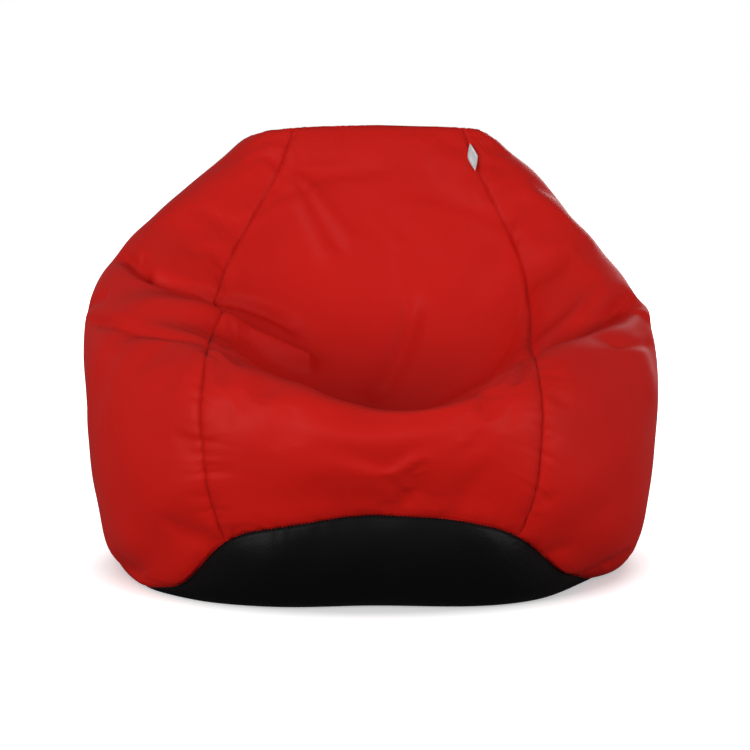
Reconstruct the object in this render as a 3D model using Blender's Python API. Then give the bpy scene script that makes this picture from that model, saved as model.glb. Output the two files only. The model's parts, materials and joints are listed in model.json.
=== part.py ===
"""Bean bag chair: a five-gore leathercloth cover, a cloth liner inside it, and the bead filling.

Metres, +Z up. The origin is on the floor under the middle of the bag and the front faces -Y.
Left is -X and right is +X, as someone sees them who stands in front of the bag.
"""
import functools
import math

import bmesh
import bpy
import numpy as np
from mathutils import Vector

# ------------------------------------------------------------------ overall size
WIDTH = 0.795            # over the two sides
DEPTH = 0.790            # from the front of the belly to the back
HEIGHT = 0.612           # to the top edge of the backrest
BACK_RADIUS = 0.420      # the centre back seam is an arc of a circle, so that a slider can run along it
BACK_CENTRE_HEIGHT = 0.225

# ------------------------------------------------------------------ form of the bag
# The cover is sewn from five gores, a five-sided base and a five-sided top. The form runs through
# guide curves, each at its own angle round the bag: 0 is the front, 90 the right, 180 the back.
FRONT_SEAM = 36.0
SIDE_SEAM = 108.0
BACK_SEAM = 180.0
GUIDE_ANGLES = (0.0, 36.0, 72.0, 108.0, 180.0, 252.0, 288.0, 324.0)

# Each guide has nine points: base seam, low side, belly, upper belly, rim, seat, lower back,
# shoulder and top seam. A point is (x, y, z) in shares of the half width, half depth and height.
FRONT_GUIDE = (
    (0.0, -0.840, 0.230), (0.0, -0.938, 0.300), (0.0, -1.000, 0.368), (0.0, -0.932, 0.420),
    (0.0, -0.772, 0.438), (0.0, -0.380, 0.363), (0.0, -0.038, 0.520), (0.0, 0.139, 0.765),
    (0.0, 0.273, 0.997),
)
FRONT_SEAM_GUIDE = (
    (0.475, -0.772, 0.165), (0.525, -0.848, 0.270), (0.543, -0.856, 0.379), (0.543, -0.772, 0.490),
    (0.532, -0.544, 0.556), (0.538, -0.241, 0.552), (0.523, 0.025, 0.678), (0.390, 0.177, 0.850),
    (0.302, 0.273, 0.992),
)
SIDE_GUIDE = (
    (0.728, -0.418, 0.020), (0.858, -0.450, 0.075), (0.920, -0.443, 0.245), (0.937, -0.380, 0.428),
    (0.925, -0.241, 0.575), (0.826, -0.063, 0.694), (0.682, 0.114, 0.809), (0.543, 0.266, 0.907),
    (0.428, 0.380, 0.970),
)
SIDE_SEAM_GUIDE = (
    (0.895, 0.140, 0.016), (0.945, 0.185, 0.075), (0.957, 0.215, 0.253), (0.960, 0.228, 0.428),
    (0.926, 0.266, 0.585), (0.823, 0.342, 0.699), (0.694, 0.443, 0.789), (0.582, 0.544, 0.846),
    (0.485, 0.646, 0.890),
)
# The back guide's points after the first two lie on the arc, so only their heights are chosen.
BACK_FOOT = (0.0, 0.630, 0.016)
BACK_LOW = (0.0, 0.856, 0.068)
BACK_HEIGHTS = (0.175, 0.290, 0.405, 0.510, 0.595, 0.665, 0.724)
ARC_FADE = 4.0           # degrees below the zip over which the form settles onto the arc
ARC_REACH = 36.0         # degrees round the bag over which it leaves the arc again

FLOOR_CLEARANCE = 0.004  # the gores stop above the floor and the base panel wraps up to them
BASE_CURL = 0.50         # how far in the base leaves the floor, as a share of its seam's height
BASE_CURL_LEAST = 0.014
TOP_CROWN = 0.022        # how far the top panel domes

# ------------------------------------------------------------------ cloth
CLOTH = 0.0012           # leathercloth of the cover
LINER_CLOTH = 0.0008
LAYER_GAP = 0.0006       # between the cover, the liner and the filling
SEAM_GAP = 0.0003        # between neighbouring panels
ROWS_PER_STEP = 2        # grid rows between two points of a guide
FRONT_COLUMNS = 6
SIDE_COLUMNS = 6
BACK_COLUMNS = 5
BASE_FLAT_ROWS = 2
BASE_CURL_ROWS = 4
TOP_ROWS = 2

# ------------------------------------------------------------------ zip in the centre back seam
ZIP_LENGTH = 0.280
ZIP_TOP_MARGIN = 0.038   # from the top seam down to the zip's window
ZIP_WINDOW = 0.012       # between the two back panels
ZIP_WINDOW_MARGIN = 0.014
TAPE_WIDTH = 0.016
TAPE_THICKNESS = 0.0006
TAPE_CLEARANCE = 0.0004  # between the inside of the panels and the tape
TAPE_OVERRUN = 0.008
TAPE_MARGIN = 0.0012     # beside the tape, where the cloth over it stays flat
TAPE_SEGMENTS = 20
TEETH_SLOT = 0.0016      # between the two rows, for the slider's divider
TEETH_WIDTH = 0.0026     # of one row, at its root
TOOTH_REACH = 0.0010
TOOTH_PITCH = 0.006
TEETH_HEIGHT = 0.0016
FIT_GAP = 0.0003
RUN_CLEARANCE = 0.0004   # round a slider
STOP_LENGTH = 0.004
STOP_STAND = 0.0008      # above the teeth
SLIDER_LENGTH = 0.011
SLIDER_PLATE = 0.0010
SLIDER_FLANGE = 0.0009
BRIDGE_WIDTH = 0.0016
BRIDGE_BAR = 0.0010
BRIDGE_OPENING = 0.0020  # round the pull's bar
BRIDGE_LENGTH = 0.0080
PULL_STAND = 0.0018      # from the outside of the cover to the pull's pivot
PULL_LENGTH = 0.030
PULL_WIDTH = 0.0070
PULL_TIP_WIDTH = 0.0090
PULL_THICKNESS = 0.0010
PULL_EYE_SIDE = 0.0016   # metal beside the eye
PULL_EYE_REACH = 0.0060  # from the pivot to the far end of the eye

WINDOW_LENGTH = ZIP_LENGTH + 2 * (STOP_LENGTH + ZIP_WINDOW_MARGIN)
FLAT_WIDTH = TEETH_SLOT + 2 * (TAPE_WIDTH + TAPE_MARGIN)  # of the cloth over the zip

# ------------------------------------------------------------------ zip of the liner
LINER_SEAM_LEVEL = 0.125 # where the liner's tray is sewn to its body
LINER_ZIP_LENGTH = 0.200
LINER_ZIP_SLOT = 0.0016
LINER_SLIDER_LENGTH = 0.009
LINER_SLIDER_WIDTH = 0.008
LINER_SLIDER_PLATE = 0.0008
POCKET_WIDTH = 0.030     # beside the zip, where the liner keeps clear of it
POCKET_FADE = 0.060

# ------------------------------------------------------------------ tag on the right front seam
TAG_LEVEL = 0.925
TAG_LENGTH = 0.039
TAG_WIDTH = 0.020
TAG_THICKNESS = 0.0022
TAG_STANDOFF = 0.0014
TAG_CROWN = 0.66         # the raised face, as a share of the outline

RED = (0.503, 0.010, 0.007)
BLACK = (0.006, 0.006, 0.007)
SILVER = (0.62, 0.62, 0.63)
TAPE_RED = (0.330, 0.012, 0.010)
LINER_GREY = (0.55, 0.55, 0.53)
BEAD_WHITE = (0.85, 0.85, 0.83)


# ------------------------------------------------------------------ smooth curves
def spline_weights(knots, at, period=0.0):
    """Weights that blend values at the knots into a smooth cubic curve at the places `at`.

    The curve's second derivative runs straight from knot to knot. It is zero at both ends, or
    with a period the curve closes on itself.
    """
    knots = np.array(knots, float)
    count = len(knots)
    ends = np.append(knots, knots[0] + period) if period else knots
    steps = np.diff(ends)
    bend = np.zeros((count, count))
    pull = np.zeros((count, count))
    for i in range(count):
        if not period and i in (0, count - 1):
            bend[i, i] = 1.0
            continue
        before, after = steps[i - 1], steps[i]
        previous, following = (i - 1) % count, (i + 1) % count
        bend[i, previous] = before
        bend[i, i] = 2 * (before + after)
        bend[i, following] = after
        pull[i, previous] = 6 / before
        pull[i, i] = -6 / before - 6 / after
        pull[i, following] = 6 / after
    curvature = np.linalg.solve(bend, pull)
    at = np.asarray(at, float)
    if period:
        at = (at - knots[0]) % period + knots[0]
    index = np.clip(np.searchsorted(knots, at, side="right") - 1, 0, len(steps) - 1)
    following = (index + 1) % count
    step = steps[index][..., None]
    after = (at - knots[index])[..., None] / step
    before = 1 - after
    unit = np.eye(count)
    straight = before * unit[index] + after * unit[following]
    bending = (before**3 - before) * curvature[index] + (after**3 - after) * curvature[following]
    return straight + bending * step**2 / 6


def back_guide():
    """Foot of the centre back seam, and its points on the arc."""
    points = [BACK_FOOT, BACK_LOW]
    for height in BACK_HEIGHTS:
        rise = height * HEIGHT - BACK_CENTRE_HEIGHT
        reach = math.sqrt(BACK_RADIUS**2 - rise**2)
        points.append((0.0, (back_centre_y() + reach) / (DEPTH / 2), height))
    return tuple(points)


def back_centre_y():
    """Centre of the back seam's arc, which just touches the back of the bag's box."""
    return DEPTH / 2 - BACK_RADIUS


def mirrored(guide):
    return tuple((-x, y, z) for x, y, z in guide)


def zip_ends(length):
    """Angles on the arc of the lower and the upper end of a zip of some length.

    The main zip's window ends a margin below the top seam, and other zips share its middle.
    """
    top = math.asin((BACK_HEIGHTS[-1] * HEIGHT - BACK_CENTRE_HEIGHT) / BACK_RADIUS)
    middle = top - (ZIP_TOP_MARGIN + WINDOW_LENGTH / 2) / BACK_RADIUS
    half = length / 2 / BACK_RADIUS
    return middle - half, middle + half


def window_ends():
    """Angles on the arc between which the two back panels part for the zip."""
    return zip_ends(WINDOW_LENGTH)


def guide_table():
    """All guides in metres: angle x point x coordinate."""
    guides = (
        FRONT_GUIDE, FRONT_SEAM_GUIDE, SIDE_GUIDE, SIDE_SEAM_GUIDE, back_guide(),
        mirrored(SIDE_SEAM_GUIDE), mirrored(SIDE_GUIDE), mirrored(FRONT_SEAM_GUIDE),
    )
    return np.array(guides) * (WIDTH / 2, DEPTH / 2, HEIGHT)


GUIDES = guide_table()
GUIDE_LEVELS = np.linspace(0.0, 1.0, GUIDES.shape[1])


def smooth(share):
    share = np.clip(share, 0, 1)
    return share * share * (3 - 2 * share)


def gore_surface(angle, level):
    """Point of the gores at an angle round the bag and a level from base seam 0 to top seam 1.

    Near the centre back seam the small error between the guide's curve and its arc is taken out.
    """
    angle, level = np.broadcast_arrays(np.asarray(angle, float), np.asarray(level, float))
    round_weights = spline_weights(GUIDE_ANGLES, angle, period=360.0)
    level_weights = spline_weights(GUIDE_LEVELS, level)
    points = np.einsum("...a,...l,alk->...k", round_weights, level_weights, GUIDES)
    seam = level_weights @ GUIDES[4]
    out = seam - (0.0, back_centre_y(), BACK_CENTRE_HEIGHT)
    radius = np.linalg.norm(out, axis=-1)
    on_arc = np.degrees(np.arctan2(out[..., 2], out[..., 1]) - window_ends()[0])
    away = np.abs((angle - BACK_SEAM + 180) % 360 - 180)
    settle = smooth(1 - away / ARC_REACH) * smooth(1 + on_arc / ARC_FADE)
    points -= out * (settle * (1 - BACK_RADIUS / radius))[..., None]
    points[..., 2] = np.maximum(points[..., 2], FLOOR_CLEARANCE)
    return points


def base_surface(angle, share):
    """Point of the base at a share of the way from its centre to its seam.

    The first half of the way is flat on the floor. In the second half the base curls up to the
    seam in a quarter of an ellipse.
    """
    seam = gore_surface(angle, np.zeros_like(angle))
    centre = np.array([0.0, GUIDES[0, 0, 1] + GUIDES[4, 0, 1], 0.0]) / (1, 2, 1)
    way = seam - centre
    way[..., 2] = 0.0
    length = np.linalg.norm(way, axis=-1)
    curl = BASE_CURL * seam[..., 2] + BASE_CURL_LEAST
    flat = np.clip(2 * share, 0, 1)
    turn = np.clip(2 * share - 1, 0, 1) * math.pi / 2
    reach = flat * (length - curl) + curl * np.sin(turn)
    points = centre + way * (reach / length)[..., None]
    points[..., 2] = seam[..., 2] * (1 - np.cos(turn))
    return points


def top_out():
    """Direction square to the top panel's fall, from its front edge to the back seam."""
    fall = GUIDES[4, -1] - GUIDES[0, -1]
    return np.array([0.0, -fall[2], fall[1]]) / math.hypot(fall[1], fall[2])


def top_surface(angle, share):
    """Point of the top at a share of the way from its seam to its centre, on a low dome."""
    seam = gore_surface(angle, np.ones_like(angle))
    rim = GUIDES[:, -1]
    centre = (rim.min(axis=0) + rim.max(axis=0)) / 2
    near = (1 - share)[..., None]
    return centre + (seam - centre) * near + top_out() * TOP_CROWN * (1 - near**2)


def bag_surface(angle, level):
    """The whole closed skin: level -1 is the base's centre, 0 its seam, 1 the top seam, 2 the top."""
    angle, level = np.broadcast_arrays(np.asarray(angle, float), np.asarray(level, float))
    gores = gore_surface(angle, np.clip(level, 0, 1))
    base = base_surface(angle, np.clip(level + 1, 0, 1))
    top = top_surface(angle, np.clip(level - 1, 0, 1))
    return np.where((level < 0)[..., None], base, np.where((level > 1)[..., None], top, gores))


def bag_normal(angle, level):
    """Outward direction, averaged over a short way each side, so it turns smoothly over a seam."""
    angle, level = np.broadcast_arrays(np.asarray(angle, float), np.asarray(level, float))
    short = 0.03
    safe = np.clip(level, -1 + short, 2 - short)
    along = bag_surface(angle + 1, safe) - bag_surface(angle - 1, safe)
    up = bag_surface(angle, safe + short) - bag_surface(angle, safe - short)
    out = np.cross(along, up)
    out /= np.linalg.norm(out, axis=-1, keepdims=True)
    out[level <= -1 + short] = (0, 0, -1)
    out[level >= 2 - short] = top_out()
    return out


def pocket(points, levels):
    """1 beside the zip, fading to 0: where the liner and the filling keep clear of the zip."""
    sideways = smooth((POCKET_FADE - np.abs(points[..., 0])) / (POCKET_FADE - POCKET_WIDTH))
    low, high = window_levels()
    fade = 0.6 / (len(GUIDE_LEVELS) - 1)
    along = smooth((levels - low + fade) / fade) * smooth((high + fade - levels) / fade)
    return np.where(points[..., 1] > back_centre_y(), sideways * along, 0.0)


# ------------------------------------------------------------------ materials and meshes
def finish(name, colour, roughness, metallic=0.0):
    material = bpy.data.materials.new(name)
    material.use_nodes = True
    shader = material.node_tree.nodes["Principled BSDF"]
    shader.inputs["Base Color"].default_value = (*colour, 1.0)
    shader.inputs["Roughness"].default_value = roughness
    shader.inputs["Metallic"].default_value = metallic
    return material


def add_object(name, mesh, material, origin=(0.0, 0.0, 0.0)):
    """Link a mesh whose points are in world space, with its object's origin at `origin`."""
    for vertex in mesh.vertices:
        vertex.co -= Vector(origin)
    mesh.materials.append(material)
    mesh.shade_smooth()
    mesh.set_sharp_from_angle(angle=math.radians(35))
    thing = bpy.data.objects.new(name, mesh)
    thing.location = origin
    bpy.context.scene.collection.objects.link(thing)
    return thing


def clean_mesh(name, points, faces):
    """Closed mesh from points and faces, with equal points merged and its faces pointing out."""
    shape = bmesh.new()
    corners = [shape.verts.new(point) for point in points]
    for face in faces:
        shape.faces.new([corners[i] for i in face])
    bmesh.ops.remove_doubles(shape, verts=shape.verts, dist=1e-6)
    bmesh.ops.recalc_face_normals(shape, faces=shape.faces)
    mesh = bpy.data.meshes.new(name)
    shape.to_mesh(mesh)
    shape.free()
    return mesh


def grid_faces(columns, cells):
    """Two triangles for each cell, cut the same way in every layer, so that layers stay apart."""
    triangles = []
    for i, j in np.argwhere(cells):
        k = (j + 1) % columns
        low, high = i * columns, (i + 1) * columns
        triangles += [(low + j, low + k, high + k), (low + j, high + k, high + j)]
    return triangles


def grid_edges(columns, cells, ring):
    """The sides of the cells that have no cell beyond them."""
    padded = np.pad(cells, ((1, 1), (0, 0)))
    padded = np.pad(padded, ((0, 0), (1, 1)), mode="wrap" if ring else "constant")
    edges = []
    for i, j in np.argwhere(cells):
        k = (j + 1) % columns
        low, high = i * columns, (i + 1) * columns
        sides = (
            (padded[i, j + 1], low + j, low + k), (padded[i + 2, j + 1], high + k, high + j),
            (padded[i + 1, j], high + j, low + j), (padded[i + 1, j + 2], low + k, high + k),
        )
        edges += [(start, end) for beyond, start, end in sides if not beyond]
    return edges


def layer(name, outer, inner, material, ring=False, missing=None):
    """Closed piece of cloth between two grids of points, rows x columns x 3.

    A ring's last column meets its first. `missing` marks cells that are left out. A side whose
    two ends are one point, at a pole, has nothing to close.
    """
    rows, columns = outer.shape[:2]
    cells = np.ones((rows - 1, columns if ring else columns - 1), bool)
    if missing is not None:
        cells &= ~missing
    points = np.concatenate([outer.reshape(-1, 3), inner.reshape(-1, 3)])
    inside = rows * columns
    faces = []
    for a, b, c in grid_faces(columns, cells):
        faces += [(a, b, c), (inside + c, inside + b, inside + a)]
    for start, end in grid_edges(columns, cells, ring):
        if np.abs(points[start] - points[end]).max() > 1e-6:
            faces.append((end, start, inside + start, inside + end))
    return add_object(name, clean_mesh(name, points, faces), material)


# ------------------------------------------------------------------ the grid that all layers share
def back_arc(x, out, angle):
    """Point at a distance x from the middle and `out` from the back arc, at an angle on it."""
    radius = BACK_RADIUS + out
    return (x, back_centre_y() + radius * math.cos(angle), BACK_CENTRE_HEIGHT + radius * math.sin(angle))


def back_level(angle):
    """Level at which the centre back seam passes an angle of its arc."""
    levels = np.linspace(0.05, 1.0, 400)
    seam = gore_surface(np.full_like(levels, BACK_SEAM), levels)
    angles = np.arctan2(seam[:, 2] - BACK_CENTRE_HEIGHT, seam[:, 1] - back_centre_y())
    return float(np.interp(angle, angles, levels))


@functools.cache
def window_levels():
    low, high = window_ends()
    return back_level(low), back_level(high)


@functools.cache
def slit_levels():
    low, high = zip_ends(LINER_ZIP_LENGTH + 2 * FIT_GAP)
    return back_level(low), back_level(high)


def gore_levels():
    """Rows of the gores: even ones, and one at each end of the zip's window and of the slit."""
    steps = (len(GUIDE_LEVELS) - 1) * ROWS_PER_STEP
    low, high = window_levels()
    past = 0.4 / steps
    fixed = [0.0, LINER_SEAM_LEVEL, low - past, low, *slit_levels(), high, high + past, 1.0]
    even = np.linspace(0, 1, steps + 1)
    spare = [level for level in even if min(abs(level - row) for row in fixed) > past]
    return np.array(sorted(spare + fixed))


LEVELS = gore_levels()


@functools.cache
def flat_angle():
    """Angle from the back seam to the edge of the cloth over the zip, where the bag is narrowest."""
    levels = np.linspace(*window_levels(), 9)
    a_degree_off = gore_surface(np.full_like(levels, BACK_SEAM - 1), levels)
    return FLAT_WIDTH / 2 / a_degree_off[:, 0].min()


def even_columns(start, end, columns):
    return np.linspace(start, end, columns + 1)


def back_columns():
    """Columns of the rear right panel, the last but one at the edge of the cloth over the zip."""
    return np.append(even_columns(SIDE_SEAM, BACK_SEAM - flat_angle(), BACK_COLUMNS), BACK_SEAM)


PANELS = {
    "front_panel": even_columns(-FRONT_SEAM, FRONT_SEAM, FRONT_COLUMNS),
    "right_side_panel": even_columns(FRONT_SEAM, SIDE_SEAM, SIDE_COLUMNS),
    "rear_right_panel": back_columns(),
    "rear_left_panel": 360 - back_columns()[::-1],
    "left_side_panel": even_columns(360 - SIDE_SEAM, 360 - FRONT_SEAM, SIDE_COLUMNS),
}


def seam_inset(seam_angle, levels):
    """Angle between a seam's line and the edge of a panel beside it, wider along the zip."""
    low, high = window_levels()
    half_gap = np.full_like(levels, SEAM_GAP / 2)
    if seam_angle == BACK_SEAM:
        half_gap[(levels >= low) & (levels <= high)] = ZIP_WINDOW / 2
    step = bag_surface(seam_angle + 1, levels) - bag_surface(seam_angle - 1, levels)
    return 2 * half_gap / np.linalg.norm(step, axis=-1)


def cut_back(angles, levels, row, way):
    """Move one row of a grid along the surface by a seam gap, up or down."""
    short = 0.02
    step = bag_surface(angles[row], levels[row] + way * short) - bag_surface(angles[row], levels[row])
    levels[row] += way * short * SEAM_GAP / np.linalg.norm(step, axis=-1)


def gore_panel(name, columns, material):
    """One gore, cut back by half a seam gap beside its neighbours and a whole one at its ends."""
    angles = np.repeat(columns[None, :], len(LEVELS), axis=0)
    angles[:, 0] += seam_inset(columns[0], LEVELS)
    angles[:, -1] -= seam_inset(columns[-1], LEVELS)
    levels = np.repeat(LEVELS[:, None], len(columns), axis=1)
    cut_back(angles, levels, 0, 1)
    cut_back(angles, levels, -1, -1)
    outer = bag_surface(angles, levels)
    return layer(name, outer, outer - CLOTH * bag_normal(angles, levels), material)


def all_angles():
    """Angles of every column round the bag, each once."""
    return np.concatenate([columns[:-1] for columns in PANELS.values()])


def base_levels():
    flat = np.linspace(-1, -0.5, BASE_FLAT_ROWS + 1)
    curl = np.linspace(-0.5, 0, BASE_CURL_ROWS + 1)
    return np.concatenate([flat, curl[1:]])


def cover():
    red = finish("red_leathercloth", RED, 0.42)
    black = finish("black_leathercloth", BLACK, 0.45)
    for name, columns in PANELS.items():
        gore_panel(name, columns, red)
    for name, levels, material in (
        ("base_panel", base_levels(), black),
        ("top_panel", np.linspace(1, 2, TOP_ROWS + 1), red),
    ):
        angles = all_angles()[None, :]
        outer = bag_surface(angles, levels[:, None])
        inner = outer - CLOTH * bag_normal(angles, levels[:, None])
        layer(name, outer, inner, material, ring=True)


def cloth_sag():
    """How far inside the arc the panels' facets lie over the zip: sideways and along the seam."""
    rows = LEVELS[(LEVELS >= window_levels()[0]) & (LEVELS <= window_levels()[1])]
    edge = gore_surface(BACK_SEAM - flat_angle(), rows) - (0.0, back_centre_y(), BACK_CENTRE_HEIGHT)
    sideways = BACK_RADIUS - np.hypot(edge[:, 1], edge[:, 2]).min()
    steps = np.diff(np.arctan2(edge[:, 2], edge[:, 1]))
    return sideways + BACK_RADIUS * (1 - math.cos(steps.max() / 2))


# ------------------------------------------------------------------ heights of the zip's layers
# Measured out from the back arc, so what lies inside the cover is negative.
TAPE_TOP = -CLOTH - cloth_sag() - TAPE_CLEARANCE
TAPE_BOTTOM = TAPE_TOP - TAPE_THICKNESS
TEETH_BOTTOM = TAPE_TOP + FIT_GAP
TEETH_TOP = TEETH_BOTTOM + TEETH_HEIGHT
TEETH_OUTSIDE = TEETH_SLOT / 2 + TEETH_WIDTH
PLATE_BOTTOM = TEETH_TOP + RUN_CLEARANCE
PLATE_TOP = PLATE_BOTTOM + SLIDER_PLATE
LOWER_PLATE_TOP = TAPE_BOTTOM - RUN_CLEARANCE
LOWER_PLATE_BOTTOM = LOWER_PLATE_TOP - SLIDER_PLATE
SLIDER_HALF_WIDTH = TEETH_OUTSIDE + RUN_CLEARANCE + SLIDER_FLANGE

# The liner keeps clear of the cover, and in its pocket of the two sliders.
LINER_DEPTH = CLOTH + LAYER_GAP
LINER_SLIDER_STAND = RUN_CLEARANCE + LINER_SLIDER_PLATE
LINER_POCKET = -LOWER_PLATE_BOTTOM + LAYER_GAP + LINER_SLIDER_STAND - LINER_DEPTH
FILL_DEPTH = LINER_DEPTH + LINER_CLOTH + LAYER_GAP
FILL_POCKET = LINER_POCKET + LINER_SLIDER_STAND


def inner_layer(angles, levels, depth, pocket_depth):
    """The bag's surface moved in by a depth, and by more in the pocket behind the zip."""
    surface = bag_surface(angles, levels)
    inward = depth + pocket_depth * pocket(surface, levels)
    return surface - inward[..., None] * bag_normal(angles, levels)


def body_levels():
    return np.concatenate([base_levels()[:-1], LEVELS, np.linspace(1, 2, TOP_ROWS + 1)[1:]])


def liner_part(name, rows, material, cut_row=None, missing=None):
    angles = np.repeat(all_angles()[None, :], len(rows), axis=0)
    levels = np.repeat(rows[:, None], angles.shape[1], axis=1)
    if cut_row is not None:
        cut_back(angles, levels, cut_row, 1)
    outer = inner_layer(angles, levels, LINER_DEPTH, LINER_POCKET)
    inner = inner_layer(angles, levels, LINER_DEPTH + LINER_CLOTH, LINER_POCKET)
    layer(name, outer, inner, material, ring=True, missing=missing)


def liner():
    """A tray under the filling and a body over it, with a slit at the back that its zip closes."""
    grey = finish("liner_cloth", LINER_GREY, 0.85)
    rows = body_levels()
    liner_part("liner_tray", rows[rows <= LINER_SEAM_LEVEL], grey)
    upper = rows[rows >= LINER_SEAM_LEVEL]
    low, high = slit_levels()
    in_slit = (upper[:-1] >= low - 1e-9) & (upper[1:] <= high + 1e-9)
    beside_seam = np.abs(all_angles() - BACK_SEAM + flat_angle() / 2) < flat_angle()
    liner_part("liner_body", upper, grey, cut_row=0, missing=in_slit[:, None] & beside_seam[None, :])


def bead_fill():
    """The filling as one solid, just inside the liner."""
    white = finish("polystyrene_beads", BEAD_WHITE, 0.9)
    points = inner_layer(*np.broadcast_arrays(all_angles()[None, :], body_levels()[:, None]),
                         FILL_DEPTH, FILL_POCKET)
    rows, columns = points.shape[:2]
    faces = grid_faces(columns, np.ones((rows - 1, columns), bool))
    add_object("bead_fill", clean_mesh("bead_fill", points.reshape(-1, 3), faces), white)


def liner_zip():
    """Two strips that fill the slit, and a small slider that runs between them."""
    nylon = finish("liner_zip_nylon", LINER_GREY, 0.5)
    top = -LINER_DEPTH - LINER_POCKET
    bottom = top - LINER_CLOTH
    steps = np.linspace(*zip_ends(LINER_ZIP_LENGTH), TAPE_SEGMENTS + 1)
    strip = rectangle(LINER_ZIP_SLOT / 2, FLAT_WIDTH / 2 - FIT_GAP, bottom, top)
    for word, side in (("left", -1), ("right", 1)):
        name = f"liner_zip_{word}"
        add_object(name, sweep(name, [side_of(strip, side)] * len(steps), steps), nylon)
    divider, half = LINER_ZIP_SLOT / 2 - RUN_CLEARANCE, LINER_SLIDER_WIDTH / 2
    right = [
        (half, bottom - LINER_SLIDER_STAND), (half, bottom - RUN_CLEARANCE),
        (divider, bottom - RUN_CLEARANCE), (divider, top + RUN_CLEARANCE),
        (half, top + RUN_CLEARANCE), (half, top + LINER_SLIDER_STAND),
    ]
    angle = liner_slider_angle()
    reach = LINER_SLIDER_LENGTH / 2 / BACK_RADIUS
    profile = right + side_of(right[::-1], -1)
    body = sweep("liner_zip_slider", [profile] * 3, (angle - reach, angle, angle + reach))
    pivot = (0.0, back_centre_y(), BACK_CENTRE_HEIGHT)
    add_object("liner_zip_slider", body, nylon, origin=pivot)


def liner_slider_angle():
    return zip_ends(LINER_ZIP_LENGTH)[1] - LINER_SLIDER_LENGTH / 2 / BACK_RADIUS


# ------------------------------------------------------------------ the zip
def sweep(name, profiles, angles):
    """Closed solid along the back arc: one profile of (x, out) corners at each angle."""
    points = []
    for profile, angle in zip(profiles, angles):
        points += [back_arc(x, out, angle) for x, out in profile]
    corners = len(profiles[0])
    faces = [tuple(range(corners)), tuple(range(len(points) - corners, len(points)))]
    for i in range(len(angles) - 1):
        for j in range(corners):
            k = (j + 1) % corners
            row, after = i * corners, (i + 1) * corners
            faces.append((row + j, row + k, after + k, after + j))
    return clean_mesh(name, points, faces)


def rectangle(x0, x1, out0, out1):
    return [(x0, out0), (x1, out0), (x1, out1), (x0, out1)]


def side_of(profile, side):
    return [(side * x, out) for x, out in profile]


def zip_tapes_and_teeth():
    cloth = finish("zip_tape", TAPE_RED, 0.8)
    nylon = finish("zip_coil", TAPE_RED, 0.4)
    low, high = zip_ends(ZIP_LENGTH)
    over = TAPE_OVERRUN / BACK_RADIUS
    steps = np.linspace(low - over, high + over, TAPE_SEGMENTS + 1)
    teeth = round(ZIP_LENGTH / TOOTH_PITCH)
    for word, side in (("left", -1), ("right", 1)):
        tape = rectangle(TEETH_SLOT / 2, TEETH_SLOT / 2 + TAPE_WIDTH, TAPE_BOTTOM, TAPE_TOP)
        tape_mesh = sweep(f"zip_tape_{word}", [side_of(tape, side)] * len(steps), steps)
        add_object(f"zip_tape_{word}", tape_mesh, cloth)
        profiles = []
        for i in range(2 * teeth + 1):
            at_root = i % 2 == (side > 0)
            inner = TEETH_SLOT / 2 + (TOOTH_REACH if at_root else 0.0)
            profiles.append(side_of(rectangle(inner, TEETH_OUTSIDE, TEETH_BOTTOM, TEETH_TOP), side))
        tooth_angles = np.linspace(low, high, len(profiles))
        add_object(f"zip_teeth_{word}", sweep(f"zip_teeth_{word}", profiles, tooth_angles), nylon)


def zip_stops():
    steel = finish("nickel_plated_brass", SILVER, 0.3, 1.0)
    low, high = zip_ends(ZIP_LENGTH)
    gap, length = FIT_GAP / BACK_RADIUS, STOP_LENGTH / BACK_RADIUS
    stop = rectangle(-TEETH_OUTSIDE, TEETH_OUTSIDE, TEETH_BOTTOM, TEETH_TOP + STOP_STAND)
    for name, start in (("zip_top_stop", high + gap), ("zip_bottom_stop", low - gap - length)):
        add_object(name, sweep(name, [stop] * 2, (start, start + length)), steel)


def slider_angle():
    """The slider waits at the top of the closed zip, just below the top stop."""
    return zip_ends(ZIP_LENGTH)[1] - SLIDER_LENGTH / 2 / BACK_RADIUS


def slider_profile():
    """Two plates joined by a divider, with flanges that turn in over the teeth."""
    divider = TEETH_SLOT / 2 - RUN_CLEARANCE
    flange_inside = SLIDER_HALF_WIDTH - SLIDER_FLANGE
    flange_end = TAPE_TOP + RUN_CLEARANCE
    right = [
        (divider, LOWER_PLATE_TOP), (divider, PLATE_BOTTOM), (flange_inside, PLATE_BOTTOM),
        (flange_inside, flange_end), (SLIDER_HALF_WIDTH, flange_end), (SLIDER_HALF_WIDTH, PLATE_TOP),
    ]
    lower = [(SLIDER_HALF_WIDTH, LOWER_PLATE_BOTTOM), (SLIDER_HALF_WIDTH, LOWER_PLATE_TOP)]
    left = side_of(list(reversed(lower + right)), -1)
    return lower + right + left


def along_arc(profile, angle, half_width):
    """Solid from corners (along, out) at an angle on the arc, as wide as it says each side."""
    points = []
    for x in (-half_width, half_width):
        points += [back_arc(x, out, angle + along / BACK_RADIUS) for along, out in profile]
    count = len(profile)
    faces = [tuple(range(count)), tuple(range(count, 2 * count))]
    faces += [(i, (i + 1) % count, count + (i + 1) % count, count + i) for i in range(count)]
    return points, faces


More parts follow.
